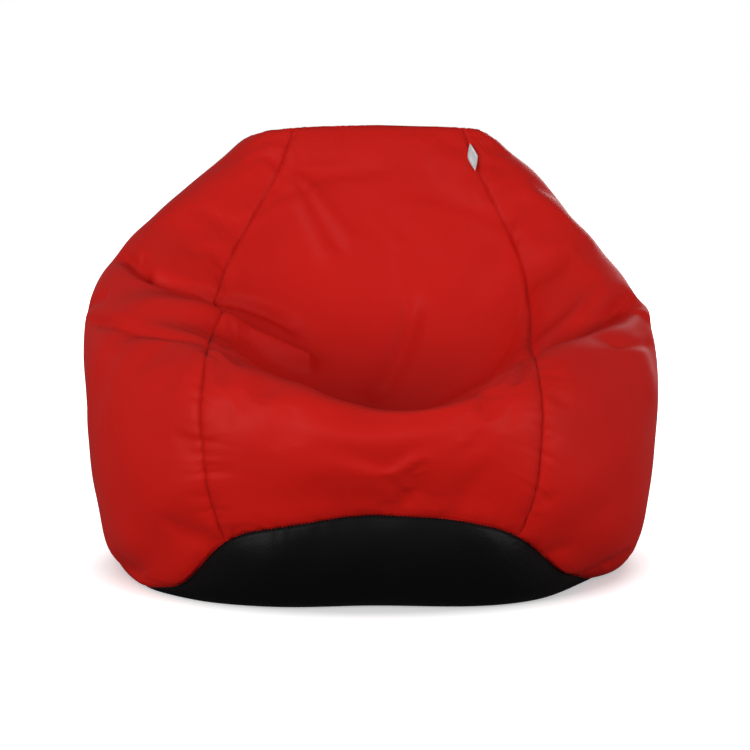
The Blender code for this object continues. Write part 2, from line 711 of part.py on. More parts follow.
def zip_slider():
    """The slider's body, with the bridge that holds the pull tab joined on."""
    steel = bpy.data.materials["nickel_plated_brass"]
    angle = slider_angle()
    half = SLIDER_LENGTH / 2 / BACK_RADIUS
    pivot = (0.0, back_centre_y(), BACK_CENTRE_HEIGHT)
    body = sweep("zip_slider", [slider_profile()] * 3, (angle - half, angle, angle + half))
    slider = add_object("zip_slider", body, steel, origin=pivot)

    foot = PLATE_TOP - SLIDER_PLATE / 2
    inside = PULL_STAND + BRIDGE_OPENING / 2
    top = inside + BRIDGE_BAR
    outer, inner = BRIDGE_LENGTH / 2, BRIDGE_LENGTH / 2 - BRIDGE_BAR
    staple = [
        (-outer, foot), (-outer, top), (outer, top), (outer, foot),
        (inner, foot), (inner, inside), (-inner, inside), (-inner, foot),
    ]
    points, faces = along_arc(staple, angle, BRIDGE_WIDTH / 2)
    bridge_mesh = clean_mesh("zip_slider_bridge", points, faces)
    bridge = add_object("zip_slider_bridge", bridge_mesh, steel, origin=pivot)
    bridge.hide_render = True
    bridge.display_type = "WIRE"
    union = slider.modifiers.new("bridge", "BOOLEAN")
    union.operation = "UNION"
    union.solver = "EXACT"
    union.object = bridge


def pull_pivot():
    return back_arc(0.0, PULL_STAND, slider_angle())


def zip_pull_tab():
    """Flat tab with an eye, whose bar runs under the slider's bridge. It hangs down the back."""
    half, thick = PULL_WIDTH / 2, PULL_THICKNESS / 2
    eye = half - PULL_EYE_SIDE
    tip = PULL_TIP_WIDTH / 2
    outline = [
        (half, thick), (half, -PULL_EYE_REACH - thick), (tip, -PULL_LENGTH * 0.55),
        (tip, -PULL_LENGTH * 0.92), (tip * 0.7, -PULL_LENGTH), (-tip * 0.7, -PULL_LENGTH),
        (-tip, -PULL_LENGTH * 0.92), (-tip, -PULL_LENGTH * 0.55), (-half, -PULL_EYE_REACH - thick),
        (-half, thick),
    ]
    hole = [(eye, -thick), (eye, -PULL_EYE_REACH), (-eye, -PULL_EYE_REACH), (-eye, -thick)]
    corners = outline + hole
    o, h = range(len(outline)), [len(outline) + i for i in range(len(hole))]
    flat_faces = [
        (o[9], h[3], h[0], o[0]),
        (o[0], h[0], h[1], o[1]),
        (o[1], h[1], h[2], o[8]),
        (o[8], h[2], h[3], o[9]),
        (o[1], o[8], o[7], o[6], o[5], o[4], o[3], o[2]),
    ]
    angle = slider_angle()
    pivot = Vector(pull_pivot())
    out = Vector((0.0, math.cos(angle), math.sin(angle)))
    up = Vector((0.0, -math.sin(angle), math.cos(angle)))
    shape = bmesh.new()
    back = pivot - out * thick
    vertices = [shape.verts.new(back + Vector((x, 0, 0)) + up * along) for x, along in corners]
    faces = [shape.faces.new([vertices[i] for i in face]) for face in flat_faces]
    lifted = bmesh.ops.extrude_face_region(shape, geom=faces)
    moved = [item for item in lifted["geom"] if isinstance(item, bmesh.types.BMVert)]
    bmesh.ops.translate(shape, verts=moved, vec=out * PULL_THICKNESS)
    bmesh.ops.recalc_face_normals(shape, faces=shape.faces)
    mesh = bpy.data.meshes.new("zip_pull_tab")
    shape.to_mesh(mesh)
    shape.free()
    add_object("zip_pull_tab", mesh, bpy.data.materials["nickel_plated_brass"], origin=pivot)


# ------------------------------------------------------------------ the tag
def seam_tag():
    """Rhombic badge that lies on the seam, with a bevelled edge round a raised face."""
    silver = finish("silver_badge", SILVER, 0.35, 0.6)
    centre = bag_surface(FRONT_SEAM, TAG_LEVEL)
    out = bag_normal(FRONT_SEAM, TAG_LEVEL)
    along = bag_surface(FRONT_SEAM, TAG_LEVEL + 0.02) - bag_surface(FRONT_SEAM, TAG_LEVEL - 0.02)
    along -= out * (along @ out)
    along /= np.linalg.norm(along)
    across = np.cross(along, out)
    points = []
    for lift, size in ((0, 1.0), (TAG_THICKNESS / 2, 1.0), (TAG_THICKNESS, TAG_CROWN)):
        for a, b in ((0, 1), (1, 0), (0, -1), (-1, 0)):
            flat = across * (a * size * TAG_WIDTH / 2) + along * (b * size * TAG_LENGTH / 2)
            points.append(centre + flat + out * (TAG_STANDOFF + lift))
    faces = [(0, 1, 2, 3), (8, 9, 10, 11)]
    for ring in (0, 4):
        faces += [(ring + i, ring + (i + 1) % 4, ring + 4 + (i + 1) % 4, ring + 4 + i) for i in range(4)]
    add_object("seam_tag", clean_mesh("seam_tag", points, faces), silver)


def main():
    for thing in list(bpy.data.objects):
        bpy.data.objects.remove(thing, do_unlink=True)
    cover()
    liner()
    liner_zip()
    bead_fill()
    zip_tapes_and_teeth()
    zip_stops()
    zip_slider()
    zip_pull_tab()
    seam_tag()


main()
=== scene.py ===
# %% [markdown]
# # A bean bag chair, dressed
#
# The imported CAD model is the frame: it says how big the bag is, where the zip runs and what moves.
# This lesson dresses it. The real chair is an outer cover of coated cloth, sewn from five tall
# panels (gores), a base and a small top, over a thin liner full of polystyrene beads.
# Every piece here is a surface worked out with numpy as a function of two numbers: an angle round
# the bag (0 is the front, +90 the right as someone sees it who stands before it) and a level up it
# (-1 the middle of the base, 0 its seam, 1 the top seam, 2 the middle of the top).

# %% Load the frame
import json
import math

import bpy
import numpy as np
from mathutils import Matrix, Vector


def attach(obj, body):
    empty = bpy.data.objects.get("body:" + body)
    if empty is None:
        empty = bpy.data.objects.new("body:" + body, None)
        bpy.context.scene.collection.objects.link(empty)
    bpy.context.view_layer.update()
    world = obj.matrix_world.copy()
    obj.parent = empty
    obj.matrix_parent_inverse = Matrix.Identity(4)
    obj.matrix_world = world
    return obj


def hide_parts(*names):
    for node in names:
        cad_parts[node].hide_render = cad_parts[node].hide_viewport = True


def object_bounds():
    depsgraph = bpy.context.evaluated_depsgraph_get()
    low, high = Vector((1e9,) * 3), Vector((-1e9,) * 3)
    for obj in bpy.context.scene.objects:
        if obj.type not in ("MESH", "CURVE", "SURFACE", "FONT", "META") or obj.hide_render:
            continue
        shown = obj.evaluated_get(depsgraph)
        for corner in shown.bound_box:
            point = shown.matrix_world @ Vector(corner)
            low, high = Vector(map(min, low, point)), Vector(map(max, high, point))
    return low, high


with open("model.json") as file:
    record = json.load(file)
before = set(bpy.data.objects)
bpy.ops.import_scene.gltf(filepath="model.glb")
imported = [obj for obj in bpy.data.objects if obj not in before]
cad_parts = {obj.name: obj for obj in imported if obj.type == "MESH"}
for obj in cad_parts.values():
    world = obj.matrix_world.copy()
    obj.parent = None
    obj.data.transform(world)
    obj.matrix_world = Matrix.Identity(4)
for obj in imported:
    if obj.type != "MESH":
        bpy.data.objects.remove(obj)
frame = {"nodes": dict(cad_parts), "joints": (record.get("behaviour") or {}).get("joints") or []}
CAD_LOW, CAD_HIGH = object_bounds()
MM = 0.001
print("CAD box in mm:", [round(x / MM, 1) for x in CAD_HIGH - CAD_LOW])

# %% [markdown]
# ## The form
#
# A filled bag has no straight lines, so its form is a smooth sheet through guide curves, as a
# boat's hull is through its frames. Each guide runs up the bag at its own angle, through nine
# points: base seam, low side, belly, upper belly, rim, seat, lower back, shoulder and top seam.
# The right-hand guides are the frame's own. The left-hand ones differ a little, because a bag that
# someone has plumped up by hand is never even: its left shoulder is fuller than its right.

# %% Guide curves, in shares of the frame's half width, half depth and height
WIDTH, DEPTH = CAD_HIGH.x - CAD_LOW.x, CAD_HIGH.y - CAD_LOW.y
TOP_SHARE = 0.997        # the highest guide point, as a share of the height
HEIGHT = CAD_HIGH.z / TOP_SHARE
FRONT_SEAM, SIDE, SIDE_SEAM, BACK_SEAM = 36.0, 72.0, 108.0, 180.0
GUIDE_ANGLES = (0.0, FRONT_SEAM, SIDE, SIDE_SEAM, BACK_SEAM, 360 - SIDE_SEAM, 360 - SIDE, 360 - FRONT_SEAM)
BACK_GUIDE = GUIDE_ANGLES.index(BACK_SEAM)
FRONT = (
    (0.0, -0.840, 0.218), (0.0, -0.925, 0.300), (0.0, -0.985, 0.372), (0.0, -0.975, 0.423),
    (0.0, -0.800, 0.440), (0.0, -0.380, 0.363), (0.0, -0.038, 0.520), (0.0, 0.139, 0.765),
    (0.0, 0.273, 0.997),
)
RIGHT_SEAM = (
    (0.475, -0.772, 0.165), (0.525, -0.848, 0.270), (0.543, -0.872, 0.378), (0.541, -0.832, 0.478),
    (0.526, -0.648, 0.536), (0.535, -0.300, 0.534), (0.530, 0.020, 0.672), (0.412, 0.177, 0.850),
    (0.328, 0.273, 0.992),
)
LEFT_SEAM = (
    (-0.475, -0.772, 0.165), (-0.525, -0.848, 0.270), (-0.543, -0.872, 0.378), (-0.543, -0.835, 0.488),
    (-0.532, -0.650, 0.558), (-0.538, -0.300, 0.570), (-0.506, 0.010, 0.690), (-0.372, 0.177, 0.850),
    (-0.286, 0.273, 0.992),
)
RIGHT_SIDE = (
    (0.742, -0.340, 0.008), (0.856, -0.430, 0.080), (0.912, -0.443, 0.245), (0.935, -0.380, 0.428),
    (0.905, -0.241, 0.570), (0.795, -0.063, 0.686), (0.668, 0.114, 0.800), (0.545, 0.266, 0.903),
    (0.428, 0.380, 0.970),
)
RIGHT_SIDE_SEAM = (
    (0.892, 0.140, 0.008), (0.925, 0.185, 0.077), (0.945, 0.215, 0.253), (0.952, 0.228, 0.428),
    (0.908, 0.266, 0.580), (0.790, 0.342, 0.690), (0.672, 0.443, 0.784), (0.590, 0.544, 0.846),
    (0.485, 0.646, 0.890),
)
BACK_FOOT = ((0.0, 0.630, 0.016), (0.0, 0.856, 0.068))
BACK_HEIGHTS = (0.175, 0.290, 0.405, 0.510, 0.595, 0.665, 0.724)
LEFT_FULLER = (0.008, -0.002, 0.0, 0.004, 0.040, 0.072, 0.058, 0.014, 0.010)  # added to the half width
BACK_CENTRE = np.array(next(j for j in frame["joints"] if j["name"] == "zip_run")["pos_m"])
BACK_RADIUS = 0.420      # the centre back seam is an arc, which the zip's slider runs along
ARC_FADE, ARC_REACH = 4.0, 36.0      # degrees below the zip, and beside it, where the form leaves the arc
FLOOR_CLEARANCE = 3 * MM
BASE_CURL, BASE_CURL_LEAST = 0.50, 5 * MM
TOP_CROWN = 22 * MM


def left_of(guide):
    """The guide on the other side of the bag, moved out by the share that the left is fuller."""
    return tuple((-x - more, y, z) for (x, y, z), more in zip(guide, LEFT_FULLER))


def guide_table():
    """All guides in metres, angle x point x coordinate. The back one's points lie on its arc."""
    rise = np.array(BACK_HEIGHTS) * HEIGHT - BACK_CENTRE[2]
    back = np.sqrt(BACK_RADIUS**2 - rise**2) + BACK_CENTRE[1]
    arc = [(0.0, y / (DEPTH / 2), z) for y, z in zip(back, BACK_HEIGHTS)]
    guides = (
        FRONT, RIGHT_SEAM, RIGHT_SIDE, RIGHT_SIDE_SEAM, (*BACK_FOOT, *arc),
        left_of(RIGHT_SIDE_SEAM), left_of(RIGHT_SIDE), LEFT_SEAM,
    )
    return np.array(guides) * (WIDTH / 2, DEPTH / 2, HEIGHT)


GUIDES = guide_table()
GUIDE_LEVELS = np.linspace(0.0, 1.0, GUIDES.shape[1])
print("guides:", GUIDES.shape[0], "with", GUIDES.shape[1], "points each")


# %% A smooth sheet through the guides
def smooth(share):
    """3 s^2 - 2 s^3 between 0 and 1: a step with no corner."""
    share = np.clip(share, 0, 1)
    return share * share * (3 - 2 * share)


def unit(vectors):
    """The vectors, each made one long."""
    return vectors / np.linalg.norm(vectors, axis=-1, keepdims=True)


def degrees_from(angle, other=0.0):
    """The turn from one angle to another, the short way round."""
    return (angle - other + 180) % 360 - 180


def spline_weights(knots, at, period=0.0):
    """Weights of the knots' values at each place, for the cubic curve with even curvature changes.

    The second derivatives M solve the usual three-term equations. A curve with a period closes on
    itself, and an open one has no bend at its ends.
    """
    knots = np.array(knots, float)
    count = len(knots)
    steps = np.diff(np.append(knots, knots[0] + period) if period else knots)
    every = np.arange(count) if period else np.arange(1, count - 1)
    before, after = steps[every - 1], steps[every % len(steps)]
    bend, pull = np.eye(count), np.zeros((count, count))
    bend[every, every] = 2 * (before + after)
    bend[every, (every - 1) % count] = before
    bend[every, (every + 1) % count] = after
    pull[every, every] = -6 / before - 6 / after
    pull[every, (every - 1) % count] = 6 / before
    pull[every, (every + 1) % count] = 6 / after
    curvature = np.linalg.solve(bend, pull)
    at = np.asarray(at, float)
    if period:
        at = (at - knots[0]) % period + knots[0]
    index = np.clip(np.searchsorted(knots, at, side="right") - 1, 0, len(steps) - 1)
    following = (index + 1) % count
    step = steps[index][..., None]
    up = (at - knots[index])[..., None] / step
    down = 1 - up
    unit = np.eye(count)
    bending = (down**3 - down) * curvature[index] + (up**3 - up) * curvature[following]
    return down * unit[index] + up * unit[following] + bending * step**2 / 6


# %% The arc behind
ZIP_SPAN = [math.radians(x) for x in (-14.55, 23.64)]    # of the teeth, on the back's arc


def beyond_zip(past):
    """The zip's span on the arc in radians, made longer by `past` metres at both ends."""
    return ZIP_SPAN[0] - past / BACK_RADIUS, ZIP_SPAN[1] + past / BACK_RADIUS


def arc_turn(points):
    """The angle about the centre of the back's arc in radians, 0 straight behind it."""
    out = points - BACK_CENTRE
    return np.arctan2(out[..., 2], out[..., 1])


def within(turn, span, fade, outside):
    """1 inside a span of the arc, falling to 0 over `fade` radians, a share of them outside it."""
    return smooth((turn - span[0]) / fade + outside) * smooth((span[1] - turn) / fade + outside)


WINDOW_SPAN = beyond_zip(18 * MM)        # where the cloth lies on the arc
SLIT_SPAN = beyond_zip(5 * MM)           # where its edges part
print("zip teeth:", round((ZIP_SPAN[1] - ZIP_SPAN[0]) * BACK_RADIUS / MM), "mm along the arc")

# %% Pushes, and the gores' form
# Where a hand has pushed the form: angle, level, spreads of the two, and the move in mm.
PUSHES = (
    (-14, 0.480, 7, 0.060, (0, 0, 8)), (15, 0.480, 9, 0.060, (0, 0, -14)), (48, 0.490, 9, 0.070, (0, 0, 6)),
    (-52, 0.000, 13, 0.070, (0, 0, -28)), (-20, 0.000, 14, 0.060, (0, 0, -8)),
    (52, 0.000, 12, 0.060, (0, 0, -12)), (-72, 0.000, 14, 0.050, (-6, -36, 0)),
)


def pushed(angle, level):
    """The sum of the pushes: each one's move times a bell over angle and over level."""
    moved = np.zeros((*angle.shape, 3))
    for at_angle, at_level, angles, levels, move in PUSHES:
        bell = np.exp(-(degrees_from(angle, at_angle) / angles) ** 2 - ((level - at_level) / levels) ** 2)
        moved += bell[..., None] * np.array(move) * MM
    return moved


def gore_form(angle, level):
    """Weights round the bag times weights up it times the guides, settled onto the back's arc."""
    round_weights = spline_weights(GUIDE_ANGLES, angle, period=360.0)
    level_weights = spline_weights(GUIDE_LEVELS, level)
    points = np.einsum("...a,...l,alk->...k", round_weights, level_weights, GUIDES)
    points += pushed(angle, level)
    middle = level_weights @ GUIDES[BACK_GUIDE]
    out = middle - BACK_CENTRE
    radius = np.linalg.norm(out, axis=-1)
    past_zip = np.degrees(arc_turn(middle) - WINDOW_SPAN[0])
    away = np.abs(degrees_from(angle, BACK_SEAM))
    settle = smooth(1 - away / ARC_REACH) * smooth(1 + past_zip / ARC_FADE)
    points -= out * (settle * (1 - BACK_RADIUS / radius))[..., None]
    points[..., 2] = np.maximum(points[..., 2], FLOOR_CLEARANCE)
    return points


# %% The base, the top and the closed form
def base_form(angle, share):
    """Flat on the floor for half the way out, then a quarter of an ellipse up to the seam."""
    seam = gore_form(angle, np.zeros_like(angle))
    centre = np.array([0.0, (GUIDES[0, 0, 1] + GUIDES[BACK_GUIDE, 0, 1]) / 2, 0.0])
    way = (seam - centre) * (1, 1, 0)
    length = np.linalg.norm(way, axis=-1)
    curl = BASE_CURL * seam[..., 2] + BASE_CURL_LEAST
    turn = np.clip(2 * share - 1, 0, 1) * math.pi / 2
    reach = np.clip(2 * share, 0, 1) * (length - curl) + curl * np.sin(turn)
    points = centre + way * (reach / length)[..., None]
    points[..., 2] = seam[..., 2] * (1 - np.cos(turn))
    return points


def top_out():
    """Square to the top panel's fall from the front of its seam to the back."""
    fall = GUIDES[BACK_GUIDE, -1] - GUIDES[0, -1]
    return np.array([0.0, -fall[2], fall[1]]) / math.hypot(fall[1], fall[2])


def top_form(angle, share):
    """A low dome over the top seam, one minus the squared way out high."""
    seam = gore_form(angle, np.ones_like(angle))
    rim = GUIDES[:, -1]
    centre = (rim.min(axis=0) + rim.max(axis=0)) / 2
    near = (1 - share)[..., None]
    return centre + (seam - centre) * near + top_out() * TOP_CROWN * (1 - near**2)


def bag_form(angle, level):
    """The whole closed form, before anything is pushed in or pulled out."""
    angle, level = np.broadcast_arrays(np.asarray(angle, float), np.asarray(level, float))
    gores = gore_form(angle, np.clip(level, 0, 1))
    base = base_form(angle, np.clip(level + 1, 0, 1))
    top = top_form(angle, np.clip(level - 1, 0, 1))
    return np.where((level < 0)[..., None], base, np.where((level > 1)[..., None], top, gores))


SHORT = 0.03             # levels each side over which a direction is averaged


def bag_steps(angle, level):
    """How the form moves for one degree round the bag, and for one level up it."""
    safe = np.clip(level, -1 + SHORT, 2 - SHORT)
    along = (bag_form(angle + 1, safe) - bag_form(angle - 1, safe)) / 2
    up = (bag_form(angle, safe + SHORT) - bag_form(angle, safe - SHORT)) / (2 * SHORT)
    return along, up


def bag_out(angle, level, steps=None):
    """Outward direction: the two steps' cross product, made one long."""
    along, up = steps or bag_steps(angle, level)
    out = unit(np.cross(along, up))
    out[level <= -1 + SHORT] = (0, 0, -1)
    out[level >= 2 - SHORT] = top_out()
    return out


LINE_POINTS = 400        # along a seam, to measure it
seam_line = bag_form(np.full(LINE_POINTS, FRONT_SEAM), np.linspace(0, 1, LINE_POINTS))
MERIDIAN = float(np.linalg.norm(np.diff(seam_line, axis=0), axis=1).sum())
print("a panel is", round(MERIDIAN / MM), "mm tall, measured along its seam")

# %% [markdown]
# ## Folds
#
# Beads flow, and the cloth that held them before is left over: it creases where the seat is pushed
# in. A sculptor would draw these folds one by one. Here each fold is a route over the form, with a
# height (negative for a crease), a width at each end and a lean, which makes one flank steeper, as
# on a fold that has begun to roll over. The height fades out at both ends of the route, over a
# share of its length that a blunt fold makes smaller.

# %% Routes of the folds: (angle, level) points, height mm, widths mm, lean
FOLDS = {
    "left arm, crease behind": ([(-46, 0.668), (-36, 0.691), (-29, 0.714), (-20, 0.733), (-12, 0.726)],
                                -14, (9, 14), 0.3),
    "left arm, roll": ([(-72, 0.575), (-56, 0.585), (-44, 0.606), (-35, 0.636), (-26, 0.668), (-15, 0.690)],
                       24, (38, 16), 0.0, (0.5, 0.0)),
    "left arm, crease along the roll": ([(-37, 0.655), (-30, 0.672), (-24, 0.686), (-18, 0.700)],
                                        -5, (6, 7), 0.3),
    "left rim": ([(-88, 0.500), (-66, 0.512), (-50, 0.512), (-34, 0.525), (-22, 0.560)],
                 -9, (9, 14), -0.4),
    "left shoulder crease": ([(-88, 0.625), (-76, 0.640), (-62, 0.640), (-50, 0.652), (-36, 0.690)],
                             -13, (13, 11), 0.7),
    "left shoulder hook": ([(-70, 0.668), (-62, 0.655), (-60, 0.632)], -8, (8, 7), 0.0),
    "left pinch, upper ray": ([(-90, 0.505), (-80, 0.535), (-70, 0.570)], -5, (6, 14), 0.0),
    "back, upper ridge": ([(-32, 0.930), (-20, 0.898), (-11, 0.868), (-2, 0.840)], 7, (9, 20), 0.0),
    "back, lower ridge": ([(-33, 0.920), (-22, 0.880), (-15, 0.850), (-8, 0.815)], 6, (8, 17), 0.0),
    "back, valley between": ([(-28, 0.915), (-15, 0.872), (-6, 0.835)], -6, (8, 15), 0.0),
    "back, stem of the fork": ([(7, 0.868), (7, 0.822), (6, 0.780)], 1.6, (10, 14), 0.0),
    "back, left arm of the fork": ([(-2, 0.895), (4, 0.870), (8, 0.840)], 1.3, (12, 10), 0.0),
    "back, right arm of the fork": ([(20, 0.890), (12, 0.868), (7, 0.838)], 1.3, (12, 10), 0.0),
    "beside the badge": ([(18, 0.962), (27, 0.940), (33, 0.925)], 5, (20, 16), 0.0),
    "left seam's lee": ([(-40, 0.960), (-41, 0.900), (-44, 0.830), (-43, 0.760)], -6, (16, 20), 0.0),
    "hollow, soft fold": ([(9, 0.800), (7, 0.755), (3, 0.715), (-2, 0.670)], -12, (14, 26), 0.4),
    "right arm, valley": ([(88, 0.525), (74, 0.548), (58, 0.562), (44, 0.560), (32, 0.560), (16, 0.560)],
                          -30, (16, 28), 0.0),
    "right corner": ([(80, 0.505), (88, 0.500), (98, 0.492)], 6, (14, 14), 0.0),
    "right pinch": ([(56, 0.478), (66, 0.465), (84, 0.450)], -4, (6, 8), 0.4),
    "belly, first pull": ([(0, 0.180), (5, 0.095), (9, 0.030)], -1.8, (9, 12), 0.5),
    "belly, second pull": ([(5, 0.185), (9, 0.100), (14, 0.030)], -1.4, (9, 12), 0.5),
}
RAYS = 6                 # fine pulls that fan out from the rim towards the right seam
FOLDS |= {
    f"rim, ray {i}": ([(19, 0.462 - 0.005 * i), (27, 0.466 - 0.013 * i), (34.5, 0.474 - 0.019 * i)],
                      -1.7, (3.5, 5), 0.0)
    for i in range(RAYS)
}
print("folds:", len(FOLDS))

# %% How high a fold stands
ROUTE_POINTS = 48
FOLD_END = 0.22          # share of a route over which its height fades at each end
FOLD_REACH = 3           # widths from a route at which a fold is gone
TINY = 1e-6


def along_route(points):
    """A smooth curve through a route's points, as angles and levels."""
    knots = np.linspace(0, 1, len(points))
    return (spline_weights(knots, np.linspace(0, 1, ROUTE_POINTS)) @ np.array(points, float)).T


def fold_height(points, route, height, widths, lean, ends=(FOLD_END, FOLD_END)):
    """height x (1 + lean d/w) x exp(-(d/w)^2) x a fade at the ends, d across the route in metres."""
    angle, level = along_route(route)
    line = bag_form(angle, level)
    out = bag_out(angle, level)
    across = unit(np.cross(out, np.gradient(line, axis=0)))
    share = np.linspace(0, 1, len(line))
    width = (widths[0] + (widths[1] - widths[0]) * share) * MM
    margin = FOLD_REACH * width.max()
    flat = points.reshape(-1, 3)
    near = np.all((flat > line.min(axis=0) - margin) & (flat < line.max(axis=0) + margin), axis=1)
    found = np.zeros(len(flat))
    if near.any():
        apart = flat[near][:, None, :] - line[None, :, :]
        nearest = np.linalg.norm(apart, axis=2).argmin(axis=1)
        gap = apart[np.arange(len(nearest)), nearest]
        d = np.einsum("ij,ij->i", gap, across[nearest]) / width[nearest]
        off = np.linalg.norm(gap, axis=1) / width[nearest]
        fade = smooth(share / max(ends[0], TINY)) * smooth((1 - share + TINY) / max(ends[1], TINY))
        found[near] = (1 + lean * d) * np.exp(-off**2) * fade[nearest] * height * MM
    return found.reshape(points.shape[:-1])


def folds(points):
    """The sum of all folds at these points of the form."""
    return sum(fold_height(points, *fold) for fold in FOLDS.values())


# %% [markdown]
# ## Slack, seams and puckers
#
# Coated cloth lies in long soft waves over loose beads. They are a sum of a few plane waves with
# seeded directions. A plain seam pulls both panels down into a groove, and because thread is less
# stretchy than cloth, it gathers them into little puckers that run square to the seam.

# %% Waves, grooves and puckers
SEED = 7
WAVE_COUNT = 16
WAVE_LENGTHS = (55 * MM, 150 * MM)
WAVE_HEIGHT = 0.35 * MM
rng = np.random.default_rng(SEED)
wave_ways = unit(rng.normal(size=(WAVE_COUNT, 3)))
WAVES = wave_ways * (2 * math.pi / rng.uniform(*WAVE_LENGTHS, WAVE_COUNT))[:, None]
WAVE_PHASES = rng.uniform(0, 2 * math.pi, WAVE_COUNT)

SEAM_ANGLES = (-BACK_SEAM, -SIDE_SEAM, -FRONT_SEAM, FRONT_SEAM, SIDE_SEAM, BACK_SEAM)
GROOVE = ((2.6, 2.6), (1.6, 11.0))   # depth and half width in mm of the nip and of the valley
PUCKER_PITCH = 13 * MM
PUCKER_HEIGHT = 1.5 * MM
PUCKER_REACH = 20 * MM
PUCKER_SLANT = 0.35
PUCKER_END = 12          # they fade over one twelfth of a gore's height at its ends
BACK_PUCKERS, RING_PUCKERS = 0.25, 0.6   # how high they are in the back seam, and round base and top
PUCKER_ROWS, PUCKER_KNOTS = 8, 512
knot_heights = rng.uniform(-1, 1, (PUCKER_ROWS, PUCKER_KNOTS))
print("waves:", WAVE_COUNT, "and seams up the bag:", len(SEAM_ANGLES) - 1)


def waves(points):
    """The sum of the waves' cosines."""
    return WAVE_HEIGHT * np.cos(points @ WAVES.T + WAVE_PHASES).sum(axis=-1)


def pucker_line(way, row):
    """Seeded heights at even knots, joined by smooth steps: one row for each seam."""
    way = way / PUCKER_PITCH
    knot = np.floor(way).astype(int)
    heights = knot_heights[row]
    rise = smooth(way - knot)
    return heights[knot % PUCKER_KNOTS] * (1 - rise) + heights[(knot + 1) % PUCKER_KNOTS] * rise


def groove(apart):
    """Minus a narrow bell and a wide one."""
    return -sum(depth * MM * np.exp(-(apart / (half * MM)) ** 2) for depth, half in GROOVE)


def seams(angle, level, steps):
    """Grooves and puckers of every seam near a point. `apart` is the way to the seam in metres."""
    along, up = (np.linalg.norm(step, axis=-1) for step in steps)
    signed = degrees_from(angle)
    on_gores = (level >= 0) & (level <= 1)
    total, flat = np.ones(angle.shape), np.zeros(angle.shape)
    for row, seam in enumerate(SEAM_ANGLES):
        beside = signed - seam
        apart = np.abs(beside) * along
        close = on_gores & (apart < 4 * PUCKER_REACH)
        nip = np.where(close, groove(apart) / groove(0.0), 0.0)
        total *= 1 - nip
        way = level * MERIDIAN + np.sign(beside) * PUCKER_SLANT * apart
        fade = np.exp(-apart / PUCKER_REACH) * smooth((1 - level) * PUCKER_END) * smooth(level * PUCKER_END)
        row = 0 if abs(seam) == BACK_SEAM else row
        flat += np.where(close, pucker_line(way, row) * fade, 0.0) * (BACK_PUCKERS if row == 0 else 1.0)
    for row, seam in ((6, 0.0), (7, 1.0)):
        apart = np.abs(level - seam) * up
        total *= 1 - groove(apart) / groove(0.0)
        way = (signed + 180) * along + PUCKER_SLANT * apart
        flat += pucker_line(way, row) * np.exp(-apart / PUCKER_REACH) * RING_PUCKERS
    return (1 - total) * groove(0.0) + flat * PUCKER_HEIGHT


# %% The cloth beside the zip and on the floor
HEM_WIDTH, HEM_LIFT, HEM_EDGE = 11 * MM, 0.7 * MM, 1.5 * MM
STITCH_LINE = 7.5 * MM   # of the zip's topstitching, from the edge of the window
DENT_DEPTH, DENT_HALF = 0.45 * MM, 1.1 * MM
WINDOW_HALF = 6 * MM
FLOOR_FADE = 30 * MM
HELD_PAST, HELD_BESIDE, HELD_FADE = 25 * MM, 70 * MM, 40 * MM    # how far the zip holds the cloth
WELL_HELD = 0.985


def floor_fade(points):
    """0 on the floor, 1 from 30 mm up: cloth that the floor holds flat has no waves or folds."""
    return smooth(points[..., 2] / FLOOR_FADE)


def zip_flat(points):
    """1 over the zip, where its tapes hold the cloth to the arc, fading to 0 round it."""
    along = within(arc_turn(points), WINDOW_SPAN, HELD_PAST / BACK_RADIUS, 1)
    sideways = smooth((HELD_BESIDE - np.abs(points[..., 0])) / HELD_FADE)
    return np.where(points[..., 1] > BACK_CENTRE[1], along * sideways, 0.0)


def hem(points):
    """A step up where the cloth is turned under beside the zip, with a dent along its stitching."""
    beside = np.abs(points[..., 0]) - WINDOW_HALF
    turned = smooth((HEM_WIDTH - beside) / HEM_EDGE) * HEM_LIFT
    dent = DENT_DEPTH * np.exp(-((beside - STITCH_LINE) / DENT_HALF) ** 2)
    behind = points[..., 1] > BACK_CENTRE[1]
    return np.where(behind, (turned - dent) * (zip_flat(points) > WELL_HELD), 0.0)


# %% The whole skin
settled_moves = np.zeros((2, 2, 3))     # filled in by the simulation below


def settled(angle, level):
    """The simulated moves at a place on the gores, between the four nearest grid points."""
    rows, columns = settled_moves.shape[:2]
    u = ((angle + 180) % 360) / 360 * columns
    v = np.clip(level, 0, 1) * (rows - 1)
    i, j = np.clip(v.astype(int), 0, rows - 2), u.astype(int) % columns
    across, up = (u - u.astype(int))[..., None], (v - i)[..., None]
    k = (j + 1) % columns
    low = settled_moves[i, j] * (1 - across) + settled_moves[i, k] * across
    high = settled_moves[i + 1, j] * (1 - across) + settled_moves[i + 1, k] * across
    return low * (1 - up) + high * up


def skin(angle, level, depth=0.0, details=True):
    """The cover's surface: the form moved along its outward direction by all of the above."""
    angle, level = np.broadcast_arrays(np.asarray(angle, float), np.asarray(level, float))
    points = bag_form(angle, level)
    steps = bag_steps(angle, level)
    out = bag_out(angle, level, steps)
    free = floor_fade(points) * (1 - zip_flat(points))
    lift = free * (folds(points) + waves(points))
    if details:
        lift = lift + seams(angle, level, steps) * np.maximum(free, 0.0)
        lift += hem(points)
    return points + out * (lift - depth)[..., None] + settled(angle, level) * free[..., None]


# %% [markdown]
# ## The filling's push
#
# The beads press the cover outwards between its seams, and the cloth gives a little. A coarse copy
# of the gores, held along the seams, the zip and the floor, is blown up for twenty frames with
# Blender's cloth, and its moves are added to the fine surface. The copy is then thrown away.

